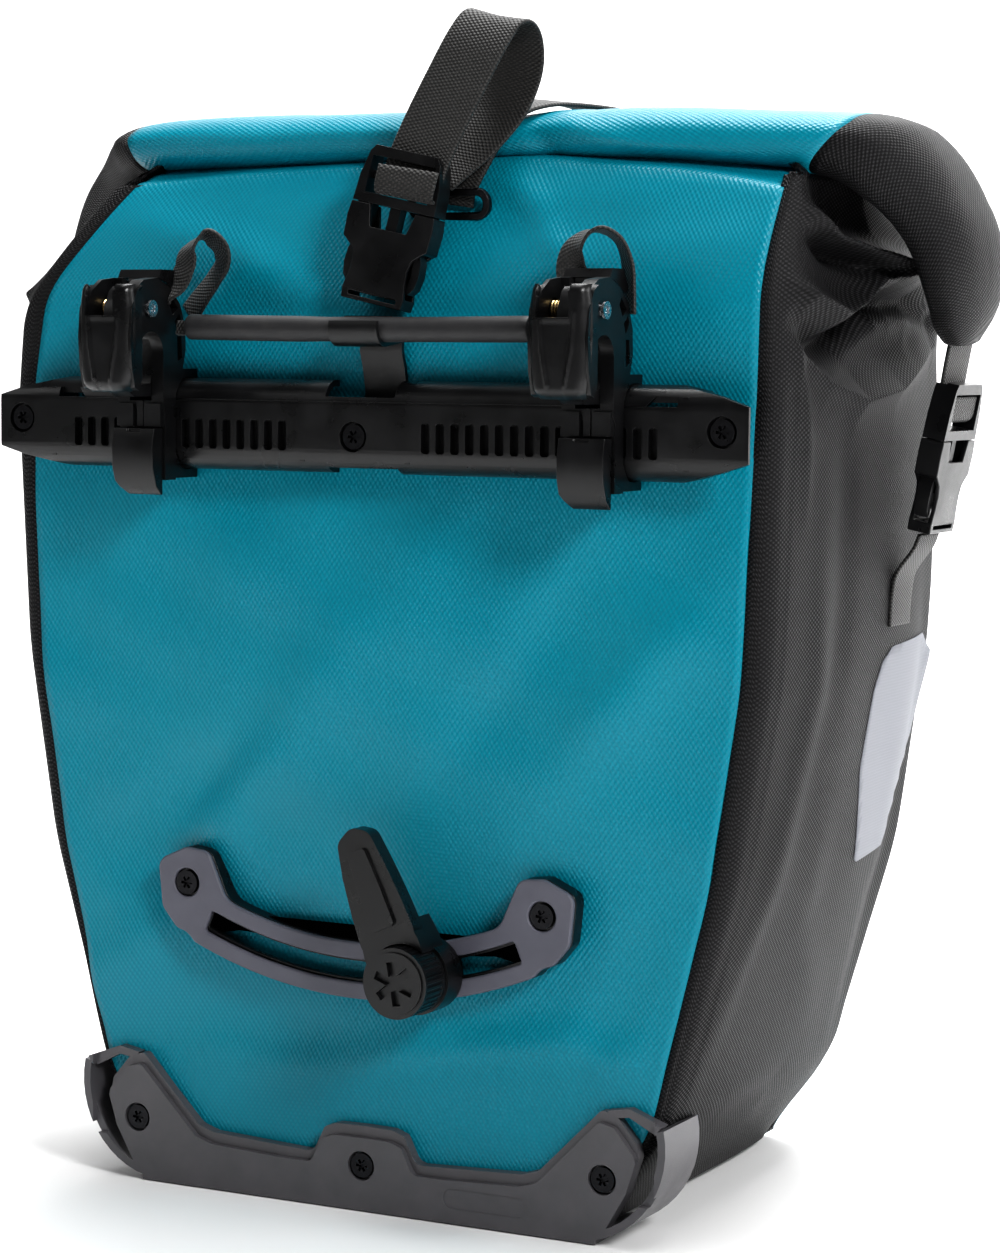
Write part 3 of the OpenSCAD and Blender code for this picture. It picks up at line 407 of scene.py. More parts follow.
def polyester_webbing(name, colour, light):
    """Polyester webbing: rows of tight cross threads, 1.4 mm apart, with a dry shine on each: a little sheen, and a
    painted highlight in its colour.
    """
    material, tree, shader = new_material(name, colour, 0.6, Sheen_Weight=0.15, Sheen_Roughness=0.4)
    weave, uv = thread_pattern(tree, 1.25, 0.72)
    fibre = add_node(
        tree, "TexNoise", {"Scale": 1 / (0.35 * MM), "Detail": 2, "Roughness": 0.55}, {"Vector": uv})["Fac"]
    over = add_node(tree, "MapRange", {"#1": -1, "#2": 1, "#3": 0, "#4": 1}, {"#0": weave})[0]
    # painted highlight: the colour turns paler on the crowns of the cross threads, by an uneven amount
    top = add_node(tree, "MapRange", {"#1": 0.5, "#2": 1, "#3": 0, "#4": 1}, {"#0": over})[0]
    uneven_highlight = add_node(tree, "MapRange", {"#1": 0.3, "#2": 0.7, "#3": 0.35, "#4": 1}, {"#0": fibre})[0]
    tone = add_node(tree, "Math", {"operation": "MULTIPLY"}, {"#0": top, "#1": uneven_highlight})[0]
    dye_and_highlight = add_node(
        tree, "Mix", {"data_type": "RGBA", "#6": linear(colour), "#7": linear(light)}, {"#0": tone})[2]
    relief = add_node(tree, "Bump", {"Strength": 1, "Distance": 0.3 * MM}, {"Height": over})[0]
    feed(tree, shader, {"Base Color": dye_and_highlight, "Normal": relief})
    return material


def moulded_nylon(name, colour, light, roughness=0.31):
    """Glass-filled nylon, injection moulded with a fine spark-eroded grain: satin, with soft highlights."""
    material, tree, shader = new_material(name, colour, roughness, ior=1.53, Specular_IOR_Level=0.38)
    place = add_node(tree, "TexCoord")["Object"]
    grain = add_node(
        tree, "TexNoise", {"Scale": 1 / (0.45 * MM), "Detail": 3, "Roughness": 0.55}, {"Vector": place})
    cloud = add_node(
        tree, "TexNoise", {"Scale": 1 / (14 * MM), "Detail": 3, "Roughness": 0.55}, {"Vector": place})
    pale = add_node(tree, "MapRange", {"#1": 0.35, "#2": 0.75, "#3": 0, "#4": 0.6}, {"#0": cloud["Fac"]})[0]
    tint = add_node(
        tree, "Mix", {"data_type": "RGBA", "#6": linear(colour), "#7": linear(light)}, {"#0": pale})[2]
    gloss = {"#1": 0.3, "#2": 0.7, "#3": roughness - 0.06, "#4": roughness + 0.08}
    gloss = add_node(tree, "MapRange", gloss, {"#0": cloud["Fac"]})[0]
    relief = add_node(tree, "Bump", {"Strength": 1, "Distance": 0.03 * MM}, {"Height": grain["Fac"]})[0]
    feed(tree, shader, {"Base Color": tint, "Roughness": gloss, "Normal": relief})
    return material


def extruded_rubber(name, colour, light):
    """EPDM rubber sleeve, extruded: dull, with faint lines along its length and a little dust."""
    material, tree, shader = new_material(name, colour, 0.58, ior=1.52)
    place = add_node(tree, "TexCoord")["Object"]
    drawn = add_node(tree, "Mapping", {"Scale": (0.05, 1, 1)}, {"Vector": place})[0]
    lines = add_node(
        tree, "TexNoise", {"Scale": 1 / (0.8 * MM), "Detail": 2, "Roughness": 0.55}, {"Vector": drawn})
    dust = add_node(
        tree, "TexNoise", {"Scale": 1 / (6 * MM), "Detail": 4, "Roughness": 0.55}, {"Vector": place})
    pale = add_node(tree, "MapRange", {"#1": 0.45, "#2": 0.8, "#3": 0, "#4": 0.8}, {"#0": dust["Fac"]})[0]
    tint = add_node(
        tree, "Mix", {"data_type": "RGBA", "#6": linear(colour), "#7": linear(light)}, {"#0": pale})[2]
    relief = add_node(tree, "Bump", {"Strength": 1, "Distance": 0.05 * MM}, {"Height": lines["Fac"]})[0]
    feed(tree, shader, {"Base Color": tint, "Normal": relief})
    return material


def reflective_tape(name, colour, light):
    """Glass-bead reflective film, welded on: even silver-grey with a fine honeycomb of cells."""
    material, tree, shader = new_material(name, colour, 0.6)
    weave, uv = thread_pattern(tree, 1.2, 1.2, diagonal=True)
    beads = add_node(
        tree, "TexNoise", {"Scale": 1 / (0.4 * MM), "Detail": 1, "Roughness": 0.55}, {"Vector": uv})
    cell = add_node(tree, "MapRange", {"#1": -1, "#2": 1, "#3": 0, "#4": 0.6}, {"#0": weave})[0]
    tint = add_node(
        tree, "Mix", {"data_type": "RGBA", "#6": linear(colour), "#7": linear(light)}, {"#0": cell})[2]
    height = add_node(tree, "Math", {"operation": "ADD"}, {"#0": weave, "#1": beads["Fac"]})[0]
    relief = add_node(tree, "Bump", {"Strength": 1, "Distance": 0.03 * MM}, {"Height": height})[0]
    feed(tree, shader, {"Base Color": tint, "Normal": relief})
    return material


def plated_steel(name, colour, roughness):
    """Zinc-plated or blackened steel wire and screws: metallic, with the faint scratches of tumbling."""
    material, tree, shader = new_material(name, colour, roughness, metallic=1.0)
    place = add_node(tree, "TexCoord")["Object"]
    marks = add_node(
        tree, "TexNoise", {"Scale": 1 / (0.6 * MM), "Detail": 4, "Roughness": 0.55}, {"Vector": place})
    gloss = {"#1": 0.3, "#2": 0.7, "#3": roughness * 0.75, "#4": roughness * 1.4}
    gloss = add_node(tree, "MapRange", gloss, {"#0": marks["Fac"]})[0]
    relief = add_node(tree, "Bump", {"Strength": 1, "Distance": 0.01 * MM}, {"Height": marks["Fac"]})[0]
    feed(tree, shader, {"Roughness": gloss, "Normal": relief})
    return material


def polyethylene_board(name, colour, light):
    """Polyethylene board: waxy off-white sheet with a faint orange-peel surface."""
    material, tree, shader = new_material(name, colour, 0.5, ior=1.51)
    place = add_node(tree, "TexCoord")["Object"]
    peel = add_node(
        tree, "TexNoise", {"Scale": 1 / (3 * MM), "Detail": 2, "Roughness": 0.55}, {"Vector": place})["Fac"]
    tint = add_node(
        tree, "Mix", {"data_type": "RGBA", "#6": linear(colour), "#7": linear(light)}, {"#0": peel})[2]
    relief = add_node(tree, "Bump", {"Strength": 1, "Distance": 0.05 * MM}, {"Height": peel})[0]
    feed(tree, shader, {"Base Color": tint, "Normal": relief})
    return material


def studio_card(name, colour):
    """Matt painted board for the studio floor: no shine, with a barely visible tooth."""
    material, tree, shader = new_material(name, colour, 0.9, ior=1.45)
    place = add_node(tree, "TexCoord")["Object"]
    tooth = add_node(
        tree, "TexNoise", {"Scale": 1 / (2 * MM), "Detail": 2, "Roughness": 0.55}, {"Vector": place})["Fac"]
    relief = add_node(tree, "Bump", {"Strength": 1, "Distance": 0.02 * MM}, {"Height": tooth})[0]
    feed(tree, shader, {"Normal": relief})
    return material


MATERIALS = {}


def finish(name):
    """The material for a finish, made once from the panel's colours."""
    if not MATERIALS:
        c = bpy.context.scene.pannier_colours
        MATERIALS.update(
            teal=coated_polyester("PVC-coated polyester, teal", c.cloth, c.cloth_highlight_and_cloud),
            black=woven_nylon("Coated nylon weave, black", c.side, c.side_highlight),
            web=polyester_webbing("Polyester webbing, black", c.web, c.web_highlight),
            plastic=moulded_nylon("Moulded nylon, black", c.plastic, c.plastic_light),
            # the grey base colour paints in the highlight on the edge protector's lower face; the rubber itself is
            # near black
            guard=moulded_nylon("Thermoplastic rubber, black", "#4b4a4d", "#5a585c", 0.36),
            face=moulded_nylon("Moulded nylon, grey", c.face, c.face_light, 0.46),
            sleeve=extruded_rubber("EPDM rubber sleeve", "#1d1d1f", "#2c2b2b"),
            tape=reflective_tape("Reflective film", "#74767d", "#82848a"),
            steel=plated_steel("Zinc-plated steel", "#cfd2d6", 0.24),
            spring=plated_steel("Spring steel, yellow passivated", "#d8bb84", 0.28),
            screw=plated_steel("Black oxide steel", "#2b2b2d", 0.36),
            board=polyethylene_board("Polyethylene board", "#dcdcd6", "#e8e8e2"),
        )
    return MATERIALS[name]


# ---------------------------------------------------------------- the bag's measures

# half widths by height of the panels and of the whole bag, the front panel's depth, and the back panel's top edge
panel_right = table(
    [(0, 86), (2.6, 88), (40, 115), (130, 137), (205, 148), (300, 152), (345, 153), (375, 155), (392, 156)], 9)
panel_left = table(
    [(0, 86), (2.6, 88), (40, 115), (130, 137), (205, 148), (300, 152), (342, 145), (384, 112), (392, 106)], 9)
side_right = table([(0, 88), (2.6, 91), (40, 120), (130, 146), (205, 158), (300, 162), (345, 161), (392, 160)], 9)
side_left = table(
    [(0, 88), (2.6, 91), (40, 120), (130, 146), (205, 158), (300, 163), (336, 160), (384, 127), (392, 120)], 9)
front_y = table([(0, 178), (120, 178), (250, 174), (322, 168), (387, 102), (395, 96)], 12)
back_top = table(
    [(-160, 379), (-107, 382), (-60, 386), (0, 388), (60, 389.5), (125, 383), (150, 378), (165, 375)], 12)


def back_y(z):
    """How far the back panel leans in at a height."""
    return 19 * np.clip((np.asarray(z, float) - 338) / 49, 0, 1.4) ** 1.5


def hardware_calm(x, z):
    """1 where the panel is free, 0 where hardware holds it flat."""
    rail = bump(z - 292.5, 24) * (np.abs(x) < 165)
    low = bump(to_line(x, z, [(-80, 120), (-60, 104), (0, 91), (60, 104), (80, 120)])[0], 18)
    foot = bump(z - 5, 34)
    return np.clip(1 - 1.1 * np.maximum(np.maximum(rail, low), foot), 0, 1)


def back_relief(x, z):
    """Unevenness of the back panel, outwards: slack folds fanning from the fixings, and a soft belly."""
    out = 1.6 * bump(np.hypot(x / 1.3, z - 205), 70)
    out = out + fold(x, z, [(-140, 60), (-95, 95), (-60, 150), (-10, 215)], 1.5, 13)
    out = out + fold(x, z, [(-128, 118), (-80, 150), (-30, 190)], -1.3, 12)
    out = out + fold(x, z, [(120, 66), (85, 70), (30, 60), (-40, 46)], 1.4, 10)
    out = out + fold(x, z, [(118, 120), (104, 90), (90, 62)], -1.2, 9)
    out = out + fold(x, z, [(-110, 55), (-70, 66), (-20, 64)], -1.3, 9)
    out = out + fold(x, z, [(60, 150), (95, 190), (135, 235)], 1.2, 13)
    out = out + fold(x, z, [(20, 150), (60, 200), (100, 255)], -0.9, 12)
    out = out + fold(x, z, [(-118, 372), (-60, 356), (-20, 336)], 1.1, 9)
    out = out + fold(x, z, [(30, 372), (75, 366), (140, 372)], -1.2, 7)
    out = out + fold(x, z, [(45, 385), (60, 372), (80, 352)], 1.3, 6)
    out = out + 0.35 * ripple(x, z, 5, 46)
    out = 2.5 * out * hardware_calm(x, z)
    return np.where(out > 0, out, 1.1 * np.tanh(out / 1.6)) + 0.7 * hardware_calm(x, z)


def side_relief(y, z, side):
    """Bulges and tucks of a gusset, outwards, for the side given by its sign."""
    out = 5.0 * np.sin(math.pi * np.clip(y / 178, 0, 1)) * bump(z - 190, 150)
    out = out + 0.5 * ripple(y, z, 11 + side, 60)
    out = out + fold(y, z, [(14, 60), (30, 130), (40, 200), (38, 270)], 1.6, 9)
    out = out + fold(y, z, [(160, 40), (150, 110), (154, 180), (150, 240)], -2.2, 10)
    out = out + fold(y, z, [(140, 20), (100, 40), (50, 36)], -1.6, 8)
    out = out + fold(y, z, [(120, 60), (70, 110), (60, 170)], 1.0, 12)
    # the tuck below the folded mouth: two lapped folds with a dark hollow under them, and a round belly
    deep = np.clip((z - 330) / 45, 0, 1)
    out = out + 10 * bump(z - 352, 20) * np.clip((y - 62) / 30, 0, 1)
    out = out - 6 * deep * np.clip((y - 20) / 20, 0, 1) * np.clip((70 - y) / 25, 0, 1)
    out = out + fold(y, z, [(4, 376), (8, 360), (2, 346), (4, 330), (10, 316)], 2.2, 6)
    out = out + fold(y, z, [(14, 374), (24, 369), (36, 363), (58, 358.5), (94, 352)], 13.0, 4.6, True)
    out = out + fold(y, z, [(22, 362), (36, 357.5), (52, 354), (74, 350.5)], -9.0, 3.2)
    out = out + fold(y, z, [(-2, 352), (14, 341), (34, 335.5), (50, 340), (66, 348), (98, 351)], 13.0, 5.6, True)
    out = out + fold(y, z, [(8, 331), (30, 323), (52, 326), (78, 339), (110, 340), (134, 334)], -12.0, 5.2)
    out = out + fold(y, z, [(20, 318), (60, 317), (110, 326)], -3.5, 8)
    out = out + fold(y, z, [(14, 322), (34, 310), (60, 304), (94, 308), (140, 324)], 7.5, 7, True)
    out = out + fold(y, z, [(8, 328), (16, 308), (20, 290), (22, 262)], 1.8, 5, True)
    out = out + fold(y, z, [(48, 300), (56, 270), (58, 230), (52, 190)], -1.4, 9)
    return out


# ---------------------------------------------------------------- shell


def panel_points(rows=118, columns=96):
    """The back panel's outer face: a grid from the base to just over the mouth."""
    u = np.linspace(-1, 1, columns)
    points = np.zeros((rows, columns, 3))
    for i, v in enumerate(np.linspace(0, 1.0, rows)):
        x_guess = u * 150
        z = 2.6 + v * (back_top(x_guess) - 2.6)
        x = np.where(u < 0, u * panel_left(z), u * panel_right(z))
        z = 2.6 + v * (back_top(x) - 2.6)
        y = back_y(z) - back_relief(x, z)
        points[i] = np.stack([x, y, z], 1)
    # the cloth rolls over the top edge and runs in under the closure
    over = []
    for dy, dz in ((1.5, 1.4), (4, 2.4), (8, 3.2), (14, 5.5), (22, 9.0)):
        row = points[-1].copy()
        row[:, 1] += dy
        row[:, 2] += dz
        over.append(row)
    return np.concatenate([points, np.array(over)], 0)


def front_points(rows=80, columns=72):
    """The front panel's outer face, rounder than the back because nothing holds it flat."""
    u = np.linspace(-1, 1, columns)
    points = np.zeros((rows, columns, 3))
    for i, v in enumerate(np.linspace(0, 1, rows)):
        z = 2.6 + v * (385.5 - 2.6)
        x = np.where(u < 0, u * panel_left(z), u * panel_right(z))
        belly = 3.5 * np.cos(u * math.pi / 2) ** 0.8 * bump(z - 180, 150)
        level = np.full(columns, z)
        wave = 0.9 * ripple(x, z, 21, 70) + fold(x, level, [(-120, 340), (-40, 300), (60, 330), (130, 350)], -2, 10)
        wave = wave + fold(x, level, [(-60, 90), (0, 130), (80, 110)], 1.4, 16)
        free = np.clip((1 - np.abs(u)) / 0.1, 0, 1)  # the seams hold the panel's edges, lapped over the gussets
        points[i] = np.stack([x, front_y(z) + belly * free + wave * free + 0.9, level], 1)
    return points


def side_plan(xi, xo, yb, yf, columns):
    """One level of a gusset: a flat seam strip beside the back panel, a corner, the side and the front corner."""
    keys = [
        (xi - 1.5, yb + 0.5), (xi + 2, yb), (xi + 0.4 * (xo - xi), yb + 0.2), (xo - 3.6, yb + 1.4),
        (xo - 1.5, yb + 4.2), (xo - 0.4, yb + 9.5), (xo + 0.3, yb + 26), (xo + 0.6, 0.5 * (yb + yf)),
        (xo + 0.2, yf - 26), (xo - 1.6, yf - 12), (xo - 5.5, yf - 4),
        (xi + 0.1 * (xo - xi), yf - 0.6), (xi - 5, yf),
    ]
    return spline(keys, columns)


def side_points(side, columns=150):
    """A gusset's outer face, and the lie of its cloth: seam strip, corner, side wall with folds, front corner."""
    inner, outer = (panel_right, side_right) if side > 0 else (panel_left, side_left)
    heights = np.concatenate([np.linspace(2.6, 290, 80)[:-1], np.linspace(290, 383, 118)])
    points, flat = np.zeros((len(heights), columns, 3)), np.zeros((len(heights), columns, 3))
    for i, z_edge in enumerate(heights):
        xi, xo = float(inner(z_edge)), float(outer(z_edge))
        plan = side_plan(xi, xo, float(back_y(z_edge)) - 0.3, float(front_y(z_edge)), columns)
        x, y = plan[:, 0], plan[:, 1]
        z = np.full(columns, z_edge)
        reach = np.clip((y - y[0] - 3) / 9, 0, 1) * np.clip((y[-1] - 3 - y) / 12, 0, 1)
        points[i] = np.stack([side * (x + side_relief(y, z, side) * reach), y, z], 1)
        flat[i] = np.stack([side * x, y, z], 1)
    # the sides close inwards under the rolled mouth
    close = []
    for dx, dz in ((3, 2.5), (7, 6), (13, 9)):
        row = points[-1].copy()
        row[:, 0] -= side * dx * reach
        row[:, 2] += dz * reach
        row[:, 1] += (1 - reach) * dx * 0.6
        close.append(row)
    lie = surface_lengths(np.concatenate([flat, np.array(close)], 0))
    lie[..., 0] -= lie[:, :1, 0]
    return np.concatenate([points, np.array(close)], 0), lie


def base_points(columns=40, rows=60):
    """The base: it wraps up round the cut corners and rests flat in the middle."""
    s = np.linspace(-1, 1, columns)
    points = np.zeros((rows, columns, 3))
    for i, q in enumerate(np.linspace(0, 1, rows)):
        y = 0.4 + q * 178.4
        edge = 1 - abs(2 * q - 1) ** 9
        x = s * 89.5
        rest = edge * 2.0 * np.clip((1 - np.abs(s)) / 0.12, 0, 1) * (1 if 0.2 < q < 0.95 else 0.35)
        points[i] = np.stack([x, np.full(columns, y), 2.6 - rest], 1)
    return points


def colour_property(label, description, hex_colour):
    """A colour that a user may change, from its sRGB hex value."""
    return bpy.props.FloatVectorProperty(
        name=label, description=description, subtype="COLOR", size=4, min=0, max=1, default=linear(hex_colour)
    )


class PANNIER_PG_colours(bpy.types.PropertyGroup):
    """Colours of the cloth and plastic"""

    cloth: colour_property("Cloth", "Coated cloth of the panels", "#007c90")
    # painted highlight on the cloth's weave crowns, mixed with a random paler clouding
    cloth_highlight_and_cloud: colour_property("Cloth, painted highlight and clouding", "Painted highlight on the crowns of its dimpled coating, and a paler clouding", "#008a9c")
    side: colour_property("Sides", "Woven sides and base", "#0c0c0d")
    # painted highlight on the crowns of the side's threads
    side_highlight: colour_property("Sides, painted highlight", "Painted highlight on the crowns of the woven threads", "#333234")
    web: colour_property("Webbing", "Straps and loops", "#0e0e0e")
    # painted highlight on the crowns of the strap's threads
    web_highlight: colour_property("Webbing, painted highlight", "Painted highlight on the crowns of the strap's threads", "#3d3a36")
    plastic: colour_property("Plastic", "Black mouldings", "#0a0a0b")
    plastic_light: colour_property("Plastic, worn", "Paler clouding of the mouldings", "#141416")
    face: colour_property("Arc face", "Face of the lower rail", "#53535d")
    face_light: colour_property("Arc face, light", "Paler clouding of the face", "#63636d")


class PANNIER_PG_sizes(bpy.types.PropertyGroup):
    """Sizes that change the looks but not the frame"""

    webbing_t: bpy.props.FloatProperty(
        name="Webbing thickness", description="Thickness of the straps", default=0.0015, min=0.001, max=0.0018,
        precision=4, unit="LENGTH")
    cloth_t: bpy.props.FloatProperty(
        name="Cloth thickness", description="Thickness of the coated cloth", default=0.0012, min=0.0008, max=0.0016,
        precision=4, unit="LENGTH")
    edge_r: bpy.props.FloatProperty(
        name="Moulded edge", description="Radius of moulded edges", default=0.0004, min=0.0001, max=0.0006,
        precision=4, unit="LENGTH")


class PANNIER_OT_stage(bpy.types.Operator):
    """Build the floor, the lights and the camera"""

    bl_idname = "pannier.stage"
    bl_label = "Stage"

    def execute(self, context):
        context.scene.view_settings.view_transform = "Standard"  # cloth colours show as dyed
        context.scene.view_settings.look = "Medium High Contrast"
        world = bpy.data.worlds.new("Studio")
        world.use_nodes = True
        background = world.node_tree.nodes["Background"]
        background.inputs[0].default_value = linear("#ffffff")
        background.inputs[1].default_value = 0.07
        context.scene.world = world
        # one sweep of card: a floor that curves up into a backdrop far behind the bag
        bend = [(2.2 + 0.9 * math.sin(a), 0.9 - 0.9 * math.cos(a)) for a in np.linspace(0, math.pi / 2, 16)]
        profile = [(-7.0, 0.0), *bend, (3.1, 4.5)]
        points = [(x, y, z - 0.0005) for y, z in profile for x in (-7.0, 7.0)]
        mesh = bpy.data.meshes.new("sweep")
        mesh.from_pydata(points, [], [(2 * i, 2 * i + 1, 2 * i + 3, 2 * i + 2) for i in range(len(profile) - 1)])
        mesh.shade_smooth()
        sweep = bpy.data.objects.new("sweep", mesh)
        mesh.materials.append(studio_card("Studio card", "#ececec"))
        context.scene.collection.objects.link(sweep)
        lights = (
            ("key", (1.9, -1.15, 1.6), (0, 0, 0.25), 0.5, 42),
            ("side", (2.3, 0.5, 1.2), (0, 0, 0.25), 0.7, 12),
            ("fill", (-2.0, -1.5, 1.6), (0, 0, 0.2), 1.0, 8),
            ("top", (0.0, 0.0, 2.6), (0, 0.1, 0), 1.2, 36),
            ("backdrop", (0.0, 1.25, 3.2), (0, 3.4, 1.0), 2.2, 280),
        )
        for name, place, aim, size, watts in lights:
            data = bpy.data.lights.new(name, "AREA")
            data.shape = "SQUARE"
            data.size = size
            data.energy = watts
            lamp = bpy.data.objects.new(name, data)
            lamp.location = place
            lamp.rotation_euler = (Vector(aim) - Vector(place)).to_track_quat("-Z", "Y").to_euler()
            context.scene.collection.objects.link(lamp)
        data = bpy.data.cameras.new("camera")
        data.sensor_width = 36
        data.lens = 94.8
        data.clip_start = 0.05
        camera = bpy.data.objects.new("camera", data)
        azimuth, elevation, roll = (math.radians(a) for a in (27.217, 4.885, 0.511))
        flat = math.cos(elevation)
        back = Vector((math.sin(azimuth) * flat, -math.cos(azimuth) * flat, math.sin(elevation)))
        level = Vector((0, 0, 1)).cross(back).normalized()
        upright = back.cross(level)
        right = level * math.cos(roll) + upright * math.sin(roll)
        up = upright * math.cos(roll) - level * math.sin(roll)
        camera.matrix_world = Matrix(
            (
                (right.x, up.x, back.x, 0.5981),
                (right.y, up.y, back.y, Y_BACK - 1.0603),
                (right.z, up.z, back.z, 0.3230),
                (0, 0, 0, 1),
            )
        )
        context.scene.collection.objects.link(camera)
        context.scene.camera = camera
        return {"FINISHED"}


class PANNIER_OT_shell(bpy.types.Operator):
    """Build the panels, the gussets and the base"""

    bl_idname = "pannier.shell"
    bl_label = "Shell"

    def execute(self, context):
        t = context.scene.pannier_sizes.cloth_t / MM
        cloth_sheet("back_panel_cloth", panel_points(), finish("teal"), "bag", ("back_panel",), t, -1)
        cloth_sheet("front_panel_cloth", front_points(), finish("teal"), "bag", ("front_panel",), t, 1)
        for side, sign in (("right", 1), ("left", -1)):
            points, lie = side_points(sign)
            cloth_sheet(f"{side}_side_cloth", points, finish("black"), "bag", (f"{side}_gusset",), t, -sign, lie)
        cloth_sheet("base_cloth", base_points(), finish("black"), "bag", ("base_panel",), t, 1)
        return {"FINISHED"}


def roll_rings():
    """Rings of the rolled mouth, from its left tip over the bag to its right tip, and where each belongs."""
    # along the roll: centre x, y, z, half width, half thickness
    stations = [
        (-187, 116, 336, 20, 6.0), (-191, 115, 346, 24, 8.5), (-189, 112, 358, 26, 9.5), (-181, 106, 370, 27, 10),
        (-169, 98, 380, 29, 10.5), (-152, 87, 389, 32, 10.8), (-134, 75, 395, 36, 11), (-117, 66, 397.5, 39, 11),
        (-90, 62, 398.3, 41, 11), (-45, 61, 398.6, 41.5, 11.2), (0, 61, 398.4, 41.5, 10.8), (30, 61, 397.8, 41.5, 10),
        (62, 61, 398.2, 41, 10.8), (100, 61, 398, 40.5, 10.8), (135, 62, 396, 40, 10.8), (158, 64, 394, 39, 11),
        (173, 69, 390, 38, 11.5), (184, 78, 381, 36, 12), (191, 86, 368, 33, 12), (194, 92, 354, 30, 11),
        (193.5, 99, 342, 25, 9.5), (191, 105, 332, 18, 7.5), (190, 109, 326, 11, 5),
    ]
    s = spline(stations, 150)
    sides = 44
    rings = []
    for i, (x, y, z, w, t) in enumerate(s):
        before, after = s[max(i - 1, 0), :3], s[min(i + 1, len(s) - 1), :3]
        along = after - before
        along[1] *= 0.25
        along /= np.linalg.norm(along)
        across = np.array([0, 1.0, 0])
        across -= across.dot(along) * along
        across /= np.linalg.norm(across)
        up = np.cross(along, across)
        ring = []
        for k in range(sides):
            a = 2 * math.pi * k / sides
            c, q = math.cos(a), math.sin(a)
            u = math.copysign(abs(c) ** 0.62, c)
            v = math.copysign(abs(q) ** 0.8, q)
            # the top is domed
            lift = 1 + 0.12 * v * (1 - u * u)
            p = np.array([x, y, z]) + across * u * w + up * v * t * lift
            ring.append(p)
        rings.append(ring)
    return np.array(rings), s


class PANNIER_OT_closure(bpy.types.Operator):
    """Build the rolled mouth with its two drooping ends"""

    bl_idname = "pannier.closure"
    bl_label = "Closure roll"

    def execute(self, context):
        rings, s = roll_rings()
        middle = rings.mean(1)
        x = middle[:, 0][:, None]
        px, py, pz = rings[..., 0], rings[..., 1], rings[..., 2]
        # unevenness of the cloth: slack on the front face, a pinch under the strap, dents near the ends
        level = np.clip(1 - np.maximum(np.abs(px - 20) - 130, 0) / 40, 0, 1)
        front = np.clip((40 - py) / 18, 0, 1)
        wave = fold(px, pz, [(78, 398), (100, 394), (130, 391), (160, 386)], 1.4, 2.2) * front
        wave = wave + fold(px, pz, [(56, 392), (80, 389), (120, 390)], -1.6, 2.6) * front
        wave = wave + fold(px, pz, [(-95, 398), (-40, 400), (0, 401), (30, 399)], 0.8, 2.4) * front
        wave = wave + fold(px, pz, [(50, 404), (58, 396), (66, 388)], -1.6, 3.5) * front
        wave = wave + fold(px, pz, [(64, 405), (74, 399), (92, 396)], 1.6, 4) * front
        top = np.clip((pz - 400) / 6, 0, 1)
        wave = wave + top * fold(px, py, [(60, 30), (74, 50), (80, 90)], -1.8, 9)
        wave = wave + top * fold(px, py, [(-60, 40), (-20, 60), (10, 90)], -1.2, 14)
        wave = wave - 1.6 * bump(x - 32, 16) * top
        wave = wave * level + 0.5 * ripple(px * 0.8 + pz, py, 31, 42)
        outward = rings - middle[:, None, :]
        outward /= np.maximum(np.linalg.norm(outward, axis=2), 1e-6)[..., None]
        rings = rings + outward * wave[..., None]
        # the seam between the two cloths slants, further right at the top
        slant = np.clip((rings[..., 2] - 388) * 0.8, -9, 11)
        near_right = bump(x - 158, 26)
        near_left = bump(x + 117, 22)
        rings[..., 0] += slant * near_right - slant * 0.6 * near_left
        xs = s[:, 0]
        cut_left = int(np.argmin(np.abs(xs + 117)))
        cut_right = int(np.argmin(np.abs(xs - 158)))
        spans = (
            ("left_roll_end_cloth", 0, cut_left, "black", "left_roll_end"),
            ("closure_roll_cloth", cut_left, cut_right, "teal", "closure_roll"),
            ("right_roll_end_cloth", cut_right, len(xs) - 1, "black", "right_roll_end"),
        )
        for name, a, b, cloth, node in spans:
            piece = lofted(name, rings[a : b + 1], finish(cloth), "bag", (node,))
            if cloth == "black":
                # a drooping end gets a mesh of its own
                side = node.split("_")[0]
                root = to_frame(middle[cut_left if side == "left" else cut_right])[0]
                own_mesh(piece)
        return {"FINISHED"}


